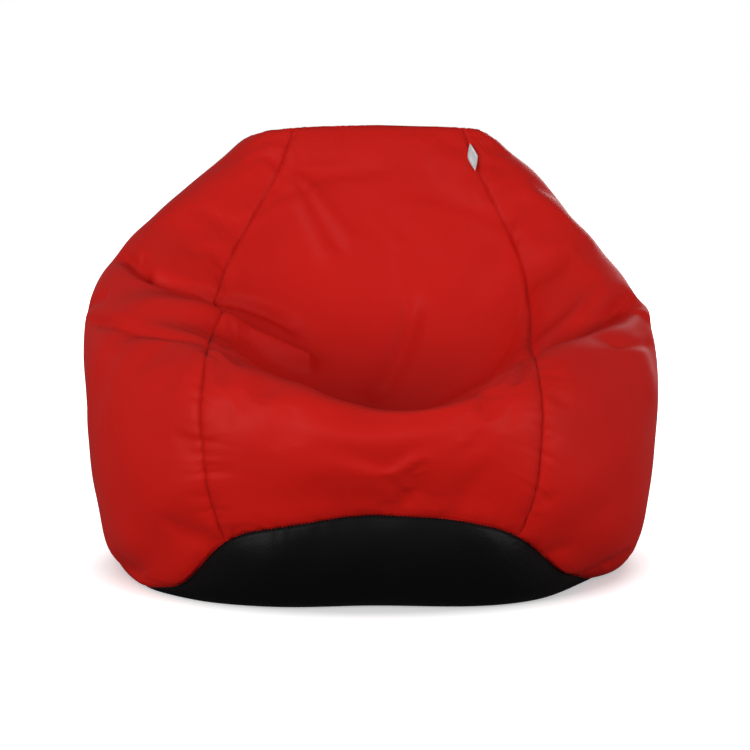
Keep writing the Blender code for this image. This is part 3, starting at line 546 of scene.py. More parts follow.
# %% Cloth simulation on a coarse copy
SIM_COLUMNS, SIM_ROWS = 240, 120
SIM_FRAMES = 20
SIM_CAP = 4.5 * MM
SIM_SLACK = -0.010       # negative shrinking: the cloth has this share to spare
SIM_PRESSURE = 4.0
SWELL = 3.2 * MM         # the even part of the swelling, which the form has already
SWELL_ANGLE, SWELL_LEVEL = 14.0, 0.08    # how far from a seam it takes to grow to that
SIM_FLOOR = 20 * MM      # the cloth is held up to this height
SIM_HELD = 0.5


def coarse_copy():
    """The gores' skin as one tube, which points are held, and the way and share of the swelling."""
    angles, levels = np.broadcast_arrays(
        np.linspace(-180, 180, SIM_COLUMNS, endpoint=False), np.linspace(0, 1, SIM_ROWS)[:, None])
    start = skin(angles, levels, details=False)
    near = np.minimum.reduce([np.abs(degrees_from(angles, seam)) for seam in SEAM_ANGLES])
    firm = ((near < 180 / SIM_COLUMNS) | (levels <= 0) | (levels >= 1)
            | (zip_flat(start) > SIM_HELD) | (start[..., 2] < SIM_FLOOR))
    share = smooth(near / SWELL_ANGLE) * smooth(levels / SWELL_LEVEL) * smooth((1 - levels) / SWELL_LEVEL)
    return start, firm, bag_out(angles, levels) * share[..., None]


def blow_up(start, firm, swell):
    """Every point's move d, shortened to c tanh(|d| / c) with c = SIM_CAP, less the even swelling."""
    scene = bpy.context.scene
    mesh = grid_mesh("settling", start, ring=True)
    copy = bpy.data.objects.new("settling", mesh)
    scene.collection.objects.link(copy)
    held = copy.vertex_groups.new(name="held")
    held.add(np.flatnonzero(firm.ravel()).tolist(), 1.0, "REPLACE")
    cloth = copy.modifiers.new("cloth", "CLOTH")
    values = cloth.settings
    values.quality, values.mass, values.vertex_group_mass = 6, 0.3, "held"
    values.tension_stiffness = values.compression_stiffness = 18
    values.shear_stiffness, values.bending_stiffness = 8, 4
    values.use_pressure, values.uniform_pressure_force = True, SIM_PRESSURE
    values.shrink_min = SIM_SLACK
    values.effector_weights.gravity = 0
    cloth.collision_settings.use_collision = False
    cloth.point_cache.frame_start, cloth.point_cache.frame_end = 1, SIM_FRAMES
    for frame_number in range(1, SIM_FRAMES + 1):
        scene.frame_set(frame_number)
    shaped = copy.evaluated_get(bpy.context.evaluated_depsgraph_get()).data
    after = np.zeros(len(shaped.vertices) * 3, np.float32)
    shaped.vertices.foreach_get("co", after)
    bpy.data.objects.remove(copy)
    bpy.data.meshes.remove(mesh)
    scene.frame_set(1)
    moves = after.reshape(start.shape) - start
    length = np.linalg.norm(moves, axis=-1, keepdims=True) + TINY * MM
    return moves * np.tanh(length / SIM_CAP) * SIM_CAP / length - swell * SWELL


# %% [markdown]
# ## Colour and finish
#
# The cover is leathercloth: a cotton knit coated with vinyl, rolled while warm under an engraved
# cylinder, so that it has leather's pebbled grain. It is smooth and half matt, so the light slides
# over it in broad soft patches, and only its grain breaks up the highlights.

# %% A helper for nodes, and sRGB hex to linear
def linear(hex_colour):
    """An sRGB hex colour as the linear numbers that shaders want."""
    channels = np.array([int(hex_colour[i:i + 2], 16) for i in (1, 3, 5)]) / 255
    low, high = channels / 12.92, ((channels + 0.055) / 1.055) ** 2.4
    return (*np.where(channels <= 0.04045, low, high).tolist(), 1.0)


def add_node(material, kind, settings=None, inputs=None):
    """One node, with its properties, and its inputs set to a value or linked to a socket."""
    node = material.node_tree.nodes.new(kind)
    for name, value in (settings or {}).items():
        setattr(node, name, value)
    for name, value in (inputs or {}).items():
        if isinstance(value, bpy.types.NodeSocket):
            material.node_tree.links.new(value, node.inputs[name])
        else:
            node.inputs[name].default_value = value
    return node


def emptied(owner):
    """A new material or world, ready for nodes of its own."""
    owner.use_nodes = True
    owner.node_tree.nodes.clear()
    return owner


def new_material(name):
    """An empty material, and the place on the piece, in metres, that its patterns follow."""
    material = emptied(bpy.data.materials.new(name))
    return material, add_node(material, "ShaderNodeTexCoord").outputs["Object"]


def surfaced(material, shader_inputs):
    """The material with a Principled shader, its inputs set to values or linked to sockets."""
    shader = add_node(material, "ShaderNodeBsdfPrincipled", inputs=shader_inputs)
    add_node(material, "ShaderNodeOutputMaterial", inputs={"Surface": shader.outputs[0]})
    return material


# %% Leathercloth
def leathercloth(name, colour, shade, roughness, grain_mm, grain_depth_mm):
    """Pebbled grain from a Voronoi net, with slow changes of tone and of gloss.

    Real pebbles are under a millimetre and would not show, so they are drawn about twice as big.
    """
    material, place = new_material(name)
    tone = add_node(material, "ShaderNodeTexNoise", inputs={"Vector": place, "Scale": 9.0, "Detail": 3.0})
    mixed = add_node(material, "ShaderNodeMix", {"data_type": "RGBA"}, {
        "Factor": tone.outputs["Fac"], "A": linear(colour), "B": linear(shade)})
    gloss = add_node(material, "ShaderNodeMapRange", inputs={
        "Value": tone.outputs["Fac"], "To Min": roughness - 0.05, "To Max": roughness + 0.07})
    pebbles = add_node(material, "ShaderNodeTexVoronoi", {"feature": "SMOOTH_F1"}, {
        "Vector": place, "Scale": 1 / (grain_mm * MM), "Smoothness": 0.6})
    fine = add_node(material, "ShaderNodeTexNoise", inputs={
        "Vector": place, "Scale": 0.5 / (grain_mm * MM), "Detail": 4.0})
    coarse_bump = add_node(material, "ShaderNodeBump", inputs={
        "Height": fine.outputs["Fac"], "Strength": 0.6, "Distance": grain_depth_mm * MM})
    bump = add_node(material, "ShaderNodeBump", inputs={
        "Height": pebbles.outputs["Distance"], "Strength": 0.8, "Distance": grain_depth_mm * MM,
        "Normal": coarse_bump.outputs["Normal"]})
    return surfaced(material, {
        "Base Color": mixed.outputs["Result"], "Roughness": gloss.outputs["Result"],
        "Normal": bump.outputs["Normal"], "IOR": 1.5, "Specular IOR Level": 0.13})


RED = leathercloth("embossed_vinyl_leathercloth_red", "#cb170f", "#c0140c", 0.58, 1.6, 0.10)
BLACK = leathercloth("embossed_vinyl_leathercloth_black", "#070708", "#040405", 0.50, 2.2, 0.22)

# %% [markdown]
# ## The panels
#
# Each panel is a grid of angles and levels, finer near its seams, where the groove needs it. The
# surface function gives the grid its points, and Solidify gives the cloth its thickness.

# %% Grids and meshes
CLOTH = 1.2 * MM
COLUMNS, ROWS = 112, 300
RING_COLUMNS, TOP_ROWS = 400, 44
ROW_EDGE, TOP_EDGE = 0.012, 0.06     # shares of a grid that are finer, at a gore's ends and the top's


def edge_dense(start, end, count, least=0.16, edge=0.035):
    """Numbers from start to end whose spacing shrinks to a least share within an edge's share."""
    share = (np.arange(count) + 0.5) / count
    near = np.minimum(share, 1 - share) / edge
    spacing = 1 - (1 - least) * np.exp(-near**2)
    sums = np.concatenate([[0.0], np.cumsum(spacing)])
    return start + (end - start) * sums / sums[-1]


def grid_faces(rows, columns, ring=False):
    """Quads between neighbouring points of a grid; a ring's last column meets its first."""
    i, j = np.arange(rows - 1)[:, None], np.arange(columns if ring else columns - 1)
    k = (j + 1) % columns
    corners = i * columns + j, i * columns + k, (i + 1) * columns + k, (i + 1) * columns + j
    return np.stack(corners, -1).reshape(-1, 4)


def grid_mesh(name, points, ring=False):
    """A sheet of quads over a grid of points, rows x columns x 3, with its outside up."""
    return array_mesh(name, points.reshape(-1, 3), grid_faces(*points.shape[:2], ring))


def array_mesh(name, points, faces):
    """A mesh from arrays of points and of faces with the same number of corners."""
    mesh = bpy.data.meshes.new(name)
    mesh.vertices.add(len(points))
    mesh.vertices.foreach_set("co", np.asarray(points, np.float32).ravel())
    corners = faces.shape[1]
    mesh.loops.add(faces.size)
    mesh.loops.foreach_set("vertex_index", faces.astype(np.int32).ravel())
    mesh.polygons.add(len(faces))
    mesh.polygons.foreach_set("loop_start", np.arange(0, faces.size, corners, dtype=np.int32))
    mesh.update(calc_edges=True)
    mesh.validate()
    mesh.shade_smooth()
    return mesh


def add_piece(name, mesh, material, body, nodes=()):
    """Link a piece, let it ride on its body and stand for its CAD nodes."""
    mesh.materials.append(material)
    piece = bpy.data.objects.new(name, mesh)
    bpy.context.scene.collection.objects.link(piece)
    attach(piece, body)
    if nodes:
        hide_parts(*nodes)
    return piece


def thicken(piece, thickness):
    """Cloth of some thickness under the surface."""
    solid = piece.modifiers.new("thickness", "SOLIDIFY")
    solid.thickness = thickness
    solid.offset = -1.0
    solid.use_even_offset = False
    return piece


def cut_size(points, ring=False):
    """Longest row, longest column and area of a grid: what a flat cut of the cloth measures.

    On a ring the rows go round a middle, so two opposite columns together are the size each way.
    """
    if ring:
        points = np.concatenate([points, points[:, :1]], axis=1)
    across = np.linalg.norm(np.diff(points, axis=1), axis=2).sum(axis=1)
    up = np.linalg.norm(np.diff(points, axis=0), axis=2).sum(axis=0)
    one, two = points[1:, :-1] - points[:-1, 1:], points[1:, 1:] - points[:-1, :-1]
    area = np.linalg.norm(np.cross(one, two), axis=2).sum() / 2
    if not ring:
        return across.max(), up.max(), area
    count = points.shape[1] - 1
    spans = up[:-1] + np.roll(up[:-1], count // 2)
    return spans[count // 4], spans[0], area


def add_cover(node, angles, levels, material, slot, ring=False):
    """A panel of the cover, laid on the skin; its flat cut is measured on the smooth form under it."""
    mesh = grid_mesh(node, skin(angles, levels), ring)
    panel = thicken(add_piece(f"cover_{node}", mesh, material, "bag", [node]), CLOTH)
    cut_size(bag_form(angles, levels), ring)


# %% Let the cover settle
settled_moves = blow_up(*coarse_copy())
print("settled by up to", round(float(np.linalg.norm(settled_moves, axis=-1).max() / MM), 1), "mm")

# %% The five gores
GORES = {
    "front_panel": (-FRONT_SEAM, FRONT_SEAM),
    "right_side_panel": (FRONT_SEAM, SIDE_SEAM),
    "rear_right_panel": (SIDE_SEAM, BACK_SEAM),
    "rear_left_panel": (-BACK_SEAM, -SIDE_SEAM),
    "left_side_panel": (-SIDE_SEAM, -FRONT_SEAM),
}
WINDOW_END = 7 * MM      # over which the window closes to a point


def window_inset(angle, level):
    """Degrees that an edge keeps from the back seam, so that the panels part over the zip."""
    turn = arc_turn(gore_form(np.full_like(level, BACK_SEAM), level))
    open_share = within(turn, SLIT_SPAN, WINDOW_END / BACK_RADIUS, 0.5) * (abs(angle) == BACK_SEAM)
    along, _ = bag_steps(np.full_like(level, angle), level)
    return open_share * WINDOW_HALF / np.linalg.norm(along, axis=-1)


def gore_grid(start, end):
    """Angles and levels of a gore's grid, set in from the back seam over the zip."""
    levels = edge_dense(0, 1, ROWS, edge=ROW_EDGE)
    first = start + window_inset(start, levels)
    last = end - window_inset(end, levels)
    share = edge_dense(0, 1, COLUMNS)
    return first[:, None] + (last - first)[:, None] * share, levels[:, None] + 0 * share


for gore, edges in GORES.items():
    add_cover(gore, *gore_grid(*edges), RED, "red_leathercloth")

# %% The base and the top
ring_angles = np.linspace(-180, 180, RING_COLUMNS, endpoint=False)[None, :]
flat_levels, curl_levels, edge_levels = (
    np.linspace(*span) for span in ((-1, -0.5, 18), (-0.5, -0.06, 40), (-0.06, 0, 18)))
base_levels = np.concatenate([flat_levels[:-1], curl_levels[:-1], edge_levels])
add_cover("base_panel", ring_angles, base_levels[:, None], BLACK, "black_leathercloth", ring=True)
top_levels = 1 + edge_dense(0, 1, TOP_ROWS, edge=TOP_EDGE)
add_cover("top_panel", ring_angles, top_levels[:, None], RED, "red_leathercloth", ring=True)

# %% [markdown]
# ## Stitches
#
# A plain seam hides its thread, but where the filling pulls it open each stitch shows as a short
# bar across the groove. Beside the zip the cloth is turned under and topstitched. A stitch is one
# small closed capsule, copied by adding its few points to every place at once.

# %% One capsule, many places
STITCH_SIDES = 6


def circles(first, second, sides):
    """cos t x first + sin t x second at even turns t: a circle of points at each place."""
    turn = np.arange(sides)[:, None] * 2 * math.pi / sides
    return np.cos(turn) * first[:, None, :] + np.sin(turn) * second[:, None, :]


def capsules(name, centres, ways, outs, length, radius):
    """Circles square to each way, thin at both ends and thick between, laid at all centres."""
    along = np.array([-1.0, -0.86, -0.45, 0.45, 0.86, 1.0]) * length / 2
    girth = np.array([0.02, 0.6, 1.0, 1.0, 0.6, 0.02]) * radius
    ways = unit(ways)
    sides = unit(np.cross(outs, ways))
    ring = circles(sides, np.cross(ways, sides), STITCH_SIDES)
    points = (centres[:, None, None] + ways[:, None, None] * along[:, None, None]
              + ring[:, None] * girth[:, None, None])
    one = grid_faces(len(along), STITCH_SIDES, ring=True)[:, ::-1]
    firsts = np.arange(len(centres))[:, None, None] * len(along) * STITCH_SIDES
    return array_mesh(name, points.reshape(-1, 3), (firsts + one).reshape(-1, 4))


def even_along(angles, levels, pitch):
    """Angles and levels at even steps of length along a path on the form."""
    line = bag_form(angles, levels)
    way = np.concatenate([[0], np.cumsum(np.linalg.norm(np.diff(line, axis=0), axis=1))])
    at = np.arange(pitch, way[-1] - pitch / 2, pitch)
    return np.interp(at, way, angles), np.interp(at, way, levels)


# %% Thread in the seams and beside the zip
THREAD = 0.45 * MM       # half the thickness of the thread, drawn a little heavy so that it shows
SEAM_PITCH, TOP_PITCH = 5 * MM, 4.2 * MM
SEAM_STITCH, TOP_STITCH = 2.6 * MM, 3.0 * MM
STITCH_LIFT, TOP_LIFT = 0.5 * MM, HEM_LIFT - 0.15 * MM
STITCH_GAP = 6 * MM      # from the end of the zip's slit to the back seam's first stitch
BASE_GAP = 0.01          # level
SEAM_POINTS, RING_POINTS = 500, 900
# Bonded thread has a dull waxed look and is a little darker than the cloth that it lies in.
THREAD_RED = surfaced(new_material("bonded_nylon_thread_red")[0], {
    "Base Color": linear("#a01410"), "Roughness": 0.6})


def seam_paths():
    """Every seam as angles and levels; the back seam in two lengths, below and above the zip."""
    fine = np.linspace(0.0, 1.0, SEAM_POINTS)
    paths = [(np.full(SEAM_POINTS, seam), fine) for seam in SEAM_ANGLES[1:-1]]
    turn = arc_turn(gore_form(np.full(SEAM_POINTS, BACK_SEAM), fine))
    margin = STITCH_GAP / BACK_RADIUS
    for part in ((turn < SLIT_SPAN[0] - margin) & (fine > BASE_GAP), turn > SLIT_SPAN[1] + margin):
        paths.append((np.full(part.sum(), BACK_SEAM), fine[part]))
    round_it = np.linspace(-180, 180, RING_POINTS)
    return paths + [(round_it, np.full(RING_POINTS, level)) for level in (0.0, 1.0)]


def seam_stitches():
    """Bars across the grooves, a little above their bottom."""
    centres, ways, outs = [], [], []
    for angles, levels in seam_paths():
        angle, level = even_along(angles, levels, SEAM_PITCH)
        out = bag_out(angle, level)
        along, up = bag_steps(angle, level)
        centres.append(skin(angle, level) + out * STITCH_LIFT)
        ways.append(along if levels[0] != levels[-1] else up)
        outs.append(out)
    centres, ways, outs = (np.concatenate(parts) for parts in (centres, ways, outs))
    add_piece("seam_stitches", capsules("seam_stitches", centres, ways, outs, SEAM_STITCH, THREAD),
              THREAD_RED, "bag")
    print("seam stitches:", len(centres))


def on_arc(x, out, turn):
    """A point x from the middle and `out` from the back's arc, at an angle on it in radians."""
    x, out, turn = np.broadcast_arrays(x, out, turn)
    radius = BACK_RADIUS + out
    return np.stack([x, BACK_CENTRE[1] + radius * np.cos(turn), BACK_CENTRE[2] + radius * np.sin(turn)], -1)


def zip_topstitching():
    """Two rows, one on each side of the window, lying in their dent."""
    turns = np.arange(SLIT_SPAN[0], SLIT_SPAN[1], TOP_PITCH / BACK_RADIUS)
    centres = np.concatenate([
        on_arc(side * (WINDOW_HALF + STITCH_LINE), TOP_LIFT, turns) for side in (-1, 1)])
    turns = np.tile(turns, 2)
    outs = np.stack([0 * turns, np.cos(turns), np.sin(turns)], -1)
    ways = np.stack([0 * turns, -np.sin(turns), np.cos(turns)], -1)
    add_piece("zip_topstitching", capsules("zip_topstitching", centres, ways, outs, TOP_STITCH, THREAD),
              THREAD_RED, "bag")
    print("topstitches:", len(centres))


seam_stitches()
zip_topstitching()

# %% [markdown]
# ## The badge
#
# A small rhombic plate of silver plastic, caught in the right front seam near the top. It is
# drawn as rings that shrink from its edge to its middle: a bevel, a raised rim, a sunk field and a
# four-sided point with a spine, which is a plain shape and nobody's mark.

# %% Badge
BADGE_LEVEL = 0.936
BADGE_LENGTH, BADGE_WIDTH, BADGE_BACK = 43 * MM, 15.5 * MM, 1.4 * MM
BADGE_ASIDE, BADGE_TURN = -0.8, math.radians(9)     # degrees round the bag; turn on the cloth
# Rings from the middle out: share of the outline, height in mm above the badge's back.
BADGE_RINGS = ((0.0, 2.3), (0.35, 1.75), (0.68, 1.2), (0.70, 1.15), (0.74, 1.75), (0.78, 2.2), (0.88, 2.2),
               (0.94, 1.8), (0.985, 1.0), (1.0, 0.5), (0.99, 0.0), (0.0, 0.0))
BADGE_CORNERS = 24       # points along each of the four edges
BADGE_POWER = 1.12       # 1 gives sharp corners, 2 a circle
BADGE_SHARP = math.radians(30)


def rhombus_outline():
    """|a|^p + |b|^p = 1, a rhombus with half diagonals 1 and 1 and slightly rounded corners."""
    turn = np.linspace(0, 2 * math.pi, 4 * BADGE_CORNERS, endpoint=False)
    a, b = np.cos(turn), np.sin(turn)
    reach = (np.abs(a)**BADGE_POWER + np.abs(b)**BADGE_POWER) ** (-1 / BADGE_POWER)
    return reach * a, reach * b


def badge():
    """The outline times each ring's share, at each ring's height."""
    spot = np.array([FRONT_SEAM + BADGE_ASIDE]), np.array([BADGE_LEVEL])
    out = bag_out(*spot)[0]
    up = bag_steps(*spot)[1][0]
    up = unit(up - out * (up @ out))
    up = up * math.cos(BADGE_TURN) + np.cross(up, out) * math.sin(BADGE_TURN)
    a, b = rhombus_outline()
    share, height = np.array(BADGE_RINGS).T
    flat = (a[:, None] * np.cross(up, out) * BADGE_WIDTH + b[:, None] * up * BADGE_LENGTH) / 2
    raised = (height[:, None] * MM + BADGE_BACK)[..., None] * out
    points = skin(*spot, details=False)[0] + share[:, None, None] * flat + raised
    mesh = grid_mesh("badge", points[::-1], ring=True)
    mesh.set_sharp_from_angle(angle=BADGE_SHARP)
    add_piece("badge", mesh, SILVER, "bag", ["seam_tag"])
    print("badge:", round(BADGE_LENGTH / MM), "x", round(BADGE_WIDTH / MM, 1), "mm")


def plated(name, colour, roughness, scratch_mm, metallic=1.0):
    """Bright metal with fine scratches and slow stains in its gloss."""
    material, place = new_material(name)
    stains = add_node(material, "ShaderNodeTexNoise", inputs={"Vector": place, "Scale": 160.0, "Detail": 5.0})
    gloss = add_node(material, "ShaderNodeMapRange", inputs={
        "Value": stains.outputs["Fac"], "To Min": roughness - 0.08, "To Max": roughness + 0.14})
    stretched = add_node(material, "ShaderNodeMapping", inputs={"Vector": place, "Scale": (1.0, 1.0, 0.08)})
    scratches = add_node(material, "ShaderNodeTexNoise", inputs={
        "Vector": stretched.outputs["Vector"], "Scale": 1 / (scratch_mm * MM), "Detail": 2.0})
    bump = add_node(material, "ShaderNodeBump", inputs={
        "Height": scratches.outputs["Fac"], "Strength": 0.25, "Distance": 0.02 * MM})
    return surfaced(material, {
        "Base Color": linear(colour), "Metallic": metallic, "Roughness": gloss.outputs["Result"],
        "Normal": bump.outputs["Normal"]})


# Silver paint under lacquer: half of its light is scattered, so that it looks bright from any side.
SILVER = plated("silver_lacquered_plastic", "#e2e3e5", 0.28, 1.2, metallic=0.5)
NICKEL = plated("nickel_plated_zinc", "#c9c5bd", 0.28, 0.8)
badge()

# %% [markdown]
# ## The zip
#
# A nylon coil zip: on each woven tape a thin monofilament is wound into a flat spiral, and the two
# spirals hook into each other. A helix squashed sideways is one formula, so each coil is a tube
# carried along it.

# %% Tape, coils, slider and stops
COIL_PITCH, COIL_WIRE = 2.0 * MM, 0.30 * MM
COIL_MIDDLE, COIL_HALF_WIDTH = 1.40 * MM, 1.60 * MM
COIL_DEPTH, COIL_HALF_HEIGHT = -2.42 * MM, 0.48 * MM
COIL_STEPS, COIL_SIDES = 12, 6
COIL_TURNS = int((ZIP_SPAN[1] - ZIP_SPAN[0]) * BACK_RADIUS / COIL_PITCH)
COIL_GIVE = 0.996        # the coils end just inside the stops
TUBE_LEAN = np.array([0.31, 0.55, 0.77])     # any way that a coil's wire never takes
TUBE_END = 0.02          # share of the radius left at a tube's ends, which closes them


def tube(name, line, radius, sides):
    """A closed tube: circles square to a line, their first points square to a fixed lean."""
    tangent = unit(np.gradient(line, axis=0))
    first = unit(np.cross(tangent, TUBE_LEAN))
    girth = np.full(len(line), radius)
    girth[[0, -1]] = radius * TUBE_END
    ring = circles(first, np.cross(tangent, first), sides)
    return grid_mesh(name, line[:, None] + ring * girth[:, None, None], ring=True)


def zip_coil(name, side):
    """x = middle + half width cos p, height = half height sin p, and the way along grows with p."""
    phase = np.linspace(0, COIL_TURNS * 2 * math.pi, COIL_TURNS * COIL_STEPS)
    offset = 0.5 if side > 0 else 0.0
    way = ZIP_SPAN[0] + (phase / (2 * math.pi) + offset) * COIL_PITCH / BACK_RADIUS * COIL_GIVE
    x = side * (COIL_MIDDLE + COIL_HALF_WIDTH * np.cos(phase))
    line = on_arc(x, COIL_DEPTH + COIL_HALF_HEIGHT * np.sin(phase), way)
    mesh = tube(name, line, COIL_WIRE, COIL_SIDES)
    add_piece(name, mesh, COIL_NYLON, "bag", [name.replace("coil", "teeth")])
    print(f"{name}: {COIL_TURNS} turns")


# %% Cloth tape, nylon and metal
BAND_SCALE = 0.314       # a wave texture's bands are about this over its scale apart


def woven(name, colour, shade, thread_mm, roughness):
    """Two crossed sets of bands, one thread wide, with the threads' tone changing along them."""
    material, place = new_material(name)
    warp, weft = (
        add_node(material, "ShaderNodeTexWave", {"bands_direction": way}, {
            "Vector": place, "Scale": BAND_SCALE / (thread_mm * MM), "Distortion": 0.6})
        for way in "XZ")
    over = add_node(material, "ShaderNodeMath", {"operation": "MULTIPLY"}, {
        0: warp.outputs["Fac"], 1: weft.outputs["Fac"]})
    mixed = add_node(material, "ShaderNodeMix", {"data_type": "RGBA"}, {
        "Factor": over.outputs["Value"], "A": linear(shade), "B": linear(colour)})
    bump = add_node(material, "ShaderNodeBump", inputs={
        "Height": over.outputs["Value"], "Strength": 0.7, "Distance": 0.12 * MM})
    return surfaced(material, {
        "Base Color": mixed.outputs["Result"], "Normal": bump.outputs["Normal"], "Roughness": roughness,
        "Sheen Weight": 0.25, "Sheen Roughness": 0.4})


def moulded_nylon(name, colour, roughness):
    """Smooth nylon with faint flow marks, which break its highlights."""
    material, place = new_material(name)
    marks = add_node(material, "ShaderNodeTexNoise", inputs={"Vector": place, "Scale": 900.0, "Detail": 2.0})
    bump = add_node(material, "ShaderNodeBump", inputs={
        "Height": marks.outputs["Fac"], "Strength": 0.2, "Distance": 0.03 * MM})
    return surfaced(material, {
        "Base Color": linear(colour), "IOR": 1.53, "Roughness": roughness, "Normal": bump.outputs["Normal"]})


TAPE = woven("woven_polyester_tape_red", "#a5140f", "#6f0d0a", 0.6, 0.8)
COIL_NYLON = moulded_nylon("extruded_nylon_coil_red", "#8f120e", 0.35)
LINER_NYLON = moulded_nylon("moulded_nylon_white", "#d9d9d4", 0.4)


def refinish(node, material):
    """Give a CAD node that keeps its shape a better finish."""
    materials = frame["nodes"][node].data.materials
    materials.clear()
    materials.append(material)


zip_coil("zip_coil_left", -1)
zip_coil("zip_coil_right", 1)
for side in ("left", "right"):
    refinish(f"zip_tape_{side}", TAPE)
    refinish(f"liner_zip_{side}", LINER_NYLON)
for metal in ("zip_slider", "zip_pull_tab", "zip_top_stop", "zip_bottom_stop"):
    refinish(metal, NICKEL)
refinish("liner_zip_slider", LINER_NYLON)

# %% [markdown]
# ## Inside
#
# The liner is a thin bag of spun-bonded cloth, and the filling is expanded polystyrene beads. Both
# follow the cover's folds a little way in, so nothing pokes through a crease. Behind the zip they
# stand further back, to leave the sliders room.

# %% Liner and filling
LINER_IN, LINER_POCKET_IN, FILL_STEP = 9 * MM, 7.32 * MM, 2.4 * MM
LINER_SPLIT = 0.125      # level of the seam between the liner's tray and its body
LINER_CLOTH = 0.8 * MM
LINER_COLUMNS, TRAY_ROWS, BODY_ROWS, FILL_ROWS = 240, 70, 200, 260


def inside(levels, more=0.0):
    """A ring grid of the skin without its seams, moved in by the liner's depth and some more."""
    angle, level = np.broadcast_arrays(
        np.linspace(-180, 180, LINER_COLUMNS, endpoint=False), levels[:, None])
    behind = zip_flat(bag_form(angle, level))
    return skin(angle, level, LINER_IN + (LINER_POCKET_IN - LINER_IN) * behind + more, details=False)


def make_inside():
    """The tray, the body with its closed top, and the heap of beads."""
    tray_grid = inside(np.linspace(-1, LINER_SPLIT, TRAY_ROWS))
    body_grid = inside(np.linspace(LINER_SPLIT, 2, BODY_ROWS))
    heap_grid = inside(np.linspace(-1, 2, FILL_ROWS), FILL_STEP)
    tray, body, heap = (
        add_piece(name, grid_mesh(node, grid, ring=True), material, "bag", [node])
        for name, node, grid, material, slot in (
            ("liner_tray_cloth", "liner_tray", tray_grid, LINER, "liner_cloth"),
            ("liner_body_cloth", "liner_body", body_grid, LINER, "liner_cloth"),
            ("bead_filling", "bead_fill", heap_grid, BEADS, "beads")))
    thicken(tray, LINER_CLOTH)
    thicken(body, LINER_CLOTH)


def bead_foam(name, colour, shade, bead_mm):
    """A heap of round beads: each Voronoi cell is a bead, with painted shade darkening it towards the gaps.
    """
    material, place = new_material(name)
    heap = add_node(material, "ShaderNodeTexVoronoi", inputs={"Vector": place, "Scale": 1 / (bead_mm * MM)})
    # Painted shade: each bead's colour darkens from its middle to the gaps between beads, where shade falls.
    mixed = add_node(material, "ShaderNodeMix", {"data_type": "RGBA"}, {
        "Factor": heap.outputs["Distance"], "A": linear(colour), "B": linear(shade)})
    bump = add_node(material, "ShaderNodeBump", {"invert": True}, {
        "Height": heap.outputs["Distance"], "Strength": 1.0, "Distance": bead_mm * MM / 2})
    return surfaced(material, {
        "Base Color": mixed.outputs["Result"], "Normal": bump.outputs["Normal"], "Roughness": 0.85})


LINER = woven("spunbonded_polypropylene", "#d8d8d2", "#bdbdb6", 1.0, 0.9)
BEADS = bead_foam("expanded_polystyrene_beads", "#f2f2ee", "#a9a9a4", 4.5)
make_inside()

# %% [markdown]
# ## The studio
#
# The chair stands on white paper before a white wall. Two big soft boxes in front, left and right,
# give the cloth its broad gentle shading, a weak one above lifts the seat, and one behind draws the
# edges. What the eye sees of paper and wall is white, but the light that they throw back on the bag
# is held down, because a bag inside a white tent loses its form. The paper glows, which is painted
# light, and its glow is weak close to the bag's foot, which paints a shadow round the foot on top of
# the real contact shadow.

# %% Floor, light and camera
EYE_HEIGHT = math.radians(8.0)
EYE_WAY, EYE_CENTRE = 3.2, np.array([0.0, 0.0, 0.30])
AIM = np.array([0.004, 0.0, 0.265])
LENS = 109.4
FOOT = (1 / 0.36, 1 / 0.30, 1.0)     # turns the bag's footprint, half axes in metres, into a circle
# Painted light and shadow: the paper's glow is least round the bag's foot, which paints a shadow there.
GLOW_WAY, GLOW = (1.0, 1.25), (0.35, 1.0)    # footprints from the middle, and the paper's glow there
WALL_SEEN, WALL_LIGHTING = 1.0, 0.31
FLOOR_HALF = 9
WHITE, DULL = linear("#ffffff"), linear("#8a8a8a")
SOFTBOXES = {            # place, size in metres, power in watts
    "key_softbox": ((-2.2, -3.1, 0.80), 1.9, 86),
    "fill_softbox": ((3.0, -2.5, 0.70), 1.8, 66),
    "top_softbox": ((-0.6, 0.2, 3.2), 1.8, 5),
    "back_softbox": ((0.9, 3.4, 0.9), 1.9, 70),
}


def seen_or_lighting(owner, seen, lighting):
    """One surface for the eye and another, dimmer one for the light that it throws on the bag."""
    ray = add_node(owner, "ShaderNodeLightPath")
    return add_node(owner, "ShaderNodeMixShader", inputs={
        0: ray.outputs["Is Camera Ray"], 1: lighting.outputs[0], 2: seen.outputs[0]})


def wall():
    """White all round, dimmer for the bag than for the eye."""
    world = emptied(bpy.data.worlds.new("studio"))
    seen, lighting = (
        add_node(world, "ShaderNodeBackground", inputs={"Color": WHITE, "Strength": strength})
        for strength in (WALL_SEEN, WALL_LIGHTING))
    both = seen_or_lighting(world, seen, lighting)
    add_node(world, "ShaderNodeOutputWorld", inputs={"Surface": both.outputs[0]})
    return world


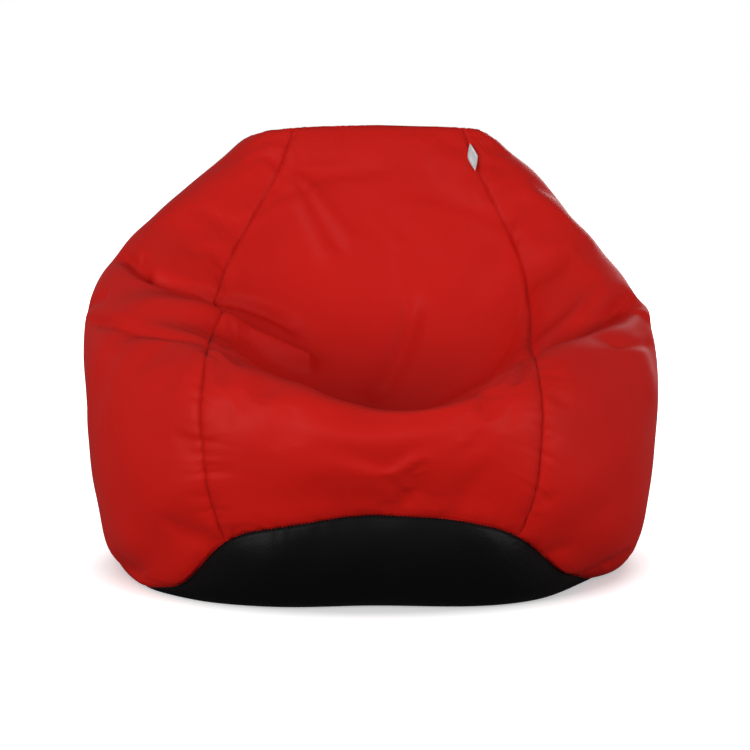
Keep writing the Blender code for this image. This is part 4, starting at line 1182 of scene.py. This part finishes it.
def painted_glow_paper():
    """Matt white with a painted glow, weak round the bag's elliptical footprint, which paints a shadow there.
    """
    paper, place = new_material("white_paper_with_painted_glow")
    bright = add_node(paper, "ShaderNodeBsdfDiffuse", inputs={"Color": WHITE})
    foot = add_node(paper, "ShaderNodeMapping", inputs={"Vector": place, "Scale": FOOT})
    away = add_node(paper, "ShaderNodeVectorMath", {"operation": "LENGTH"}, {0: foot.outputs["Vector"]})
    # Painted shadow: the glow grows from the footprint's edge outwards, so the paper is darker round the
    # foot.
    glow_and_painted_shadow = add_node(paper, "ShaderNodeMapRange", inputs={
        "Value": away.outputs["Value"], "From Min": GLOW_WAY[0], "From Max": GLOW_WAY[1],
        "To Min": GLOW[0], "To Max": GLOW[1]})
    glow = add_node(paper, "ShaderNodeEmission", inputs={"Color": WHITE, "Strength": glow_and_painted_shadow.outputs["Result"]})
    lit = add_node(paper, "ShaderNodeAddShader", inputs={0: bright.outputs[0], 1: glow.outputs[0]})
    dull = add_node(paper, "ShaderNodeBsdfDiffuse", inputs={"Color": DULL})
    both = seen_or_lighting(paper, lit, dull)
    add_node(paper, "ShaderNodeOutputMaterial", inputs={"Surface": both.outputs[0]})
    return paper


def set_up(name, data, place, target):
    """A light or the camera, put at a place and turned to look at a target."""
    thing = bpy.data.objects.new(name, data)
    bpy.context.scene.collection.objects.link(thing)
    thing.location = place
    thing.rotation_euler = (Vector(target) - Vector(place)).to_track_quat("-Z", "Y").to_euler()
    return thing


def studio():
    """White paper on the floor, white beyond it, four soft boxes and the camera."""
    scene = bpy.context.scene
    scene.view_settings.view_transform = "Standard"
    scene.world = wall()
    corners = np.array([(-1, -1, 0), (1, -1, 0), (1, 1, 0), (-1, 1, 0)]) * float(FLOOR_HALF)
    floor_mesh = array_mesh("floor", corners, np.array([[0, 1, 2, 3]]))
    floor_mesh.materials.append(painted_glow_paper())
    floor = bpy.data.objects.new("floor", floor_mesh)
    scene.collection.objects.link(floor)
    for name, (place, size, power) in SOFTBOXES.items():
        light = bpy.data.lights.new(name, "AREA")
        light.size, light.energy = size, power
        set_up(name, light, place, EYE_CENTRE)
    lens = bpy.data.cameras.new("camera")
    lens.lens = LENS
    back = np.array([0, -math.cos(EYE_HEIGHT), math.sin(EYE_HEIGHT)])
    scene.camera = set_up("camera", lens, EYE_CENTRE + EYE_WAY * back, AIM)
    print("studio:", len(SOFTBOXES), "soft boxes, the eye", EYE_WAY, "m away")


studio()
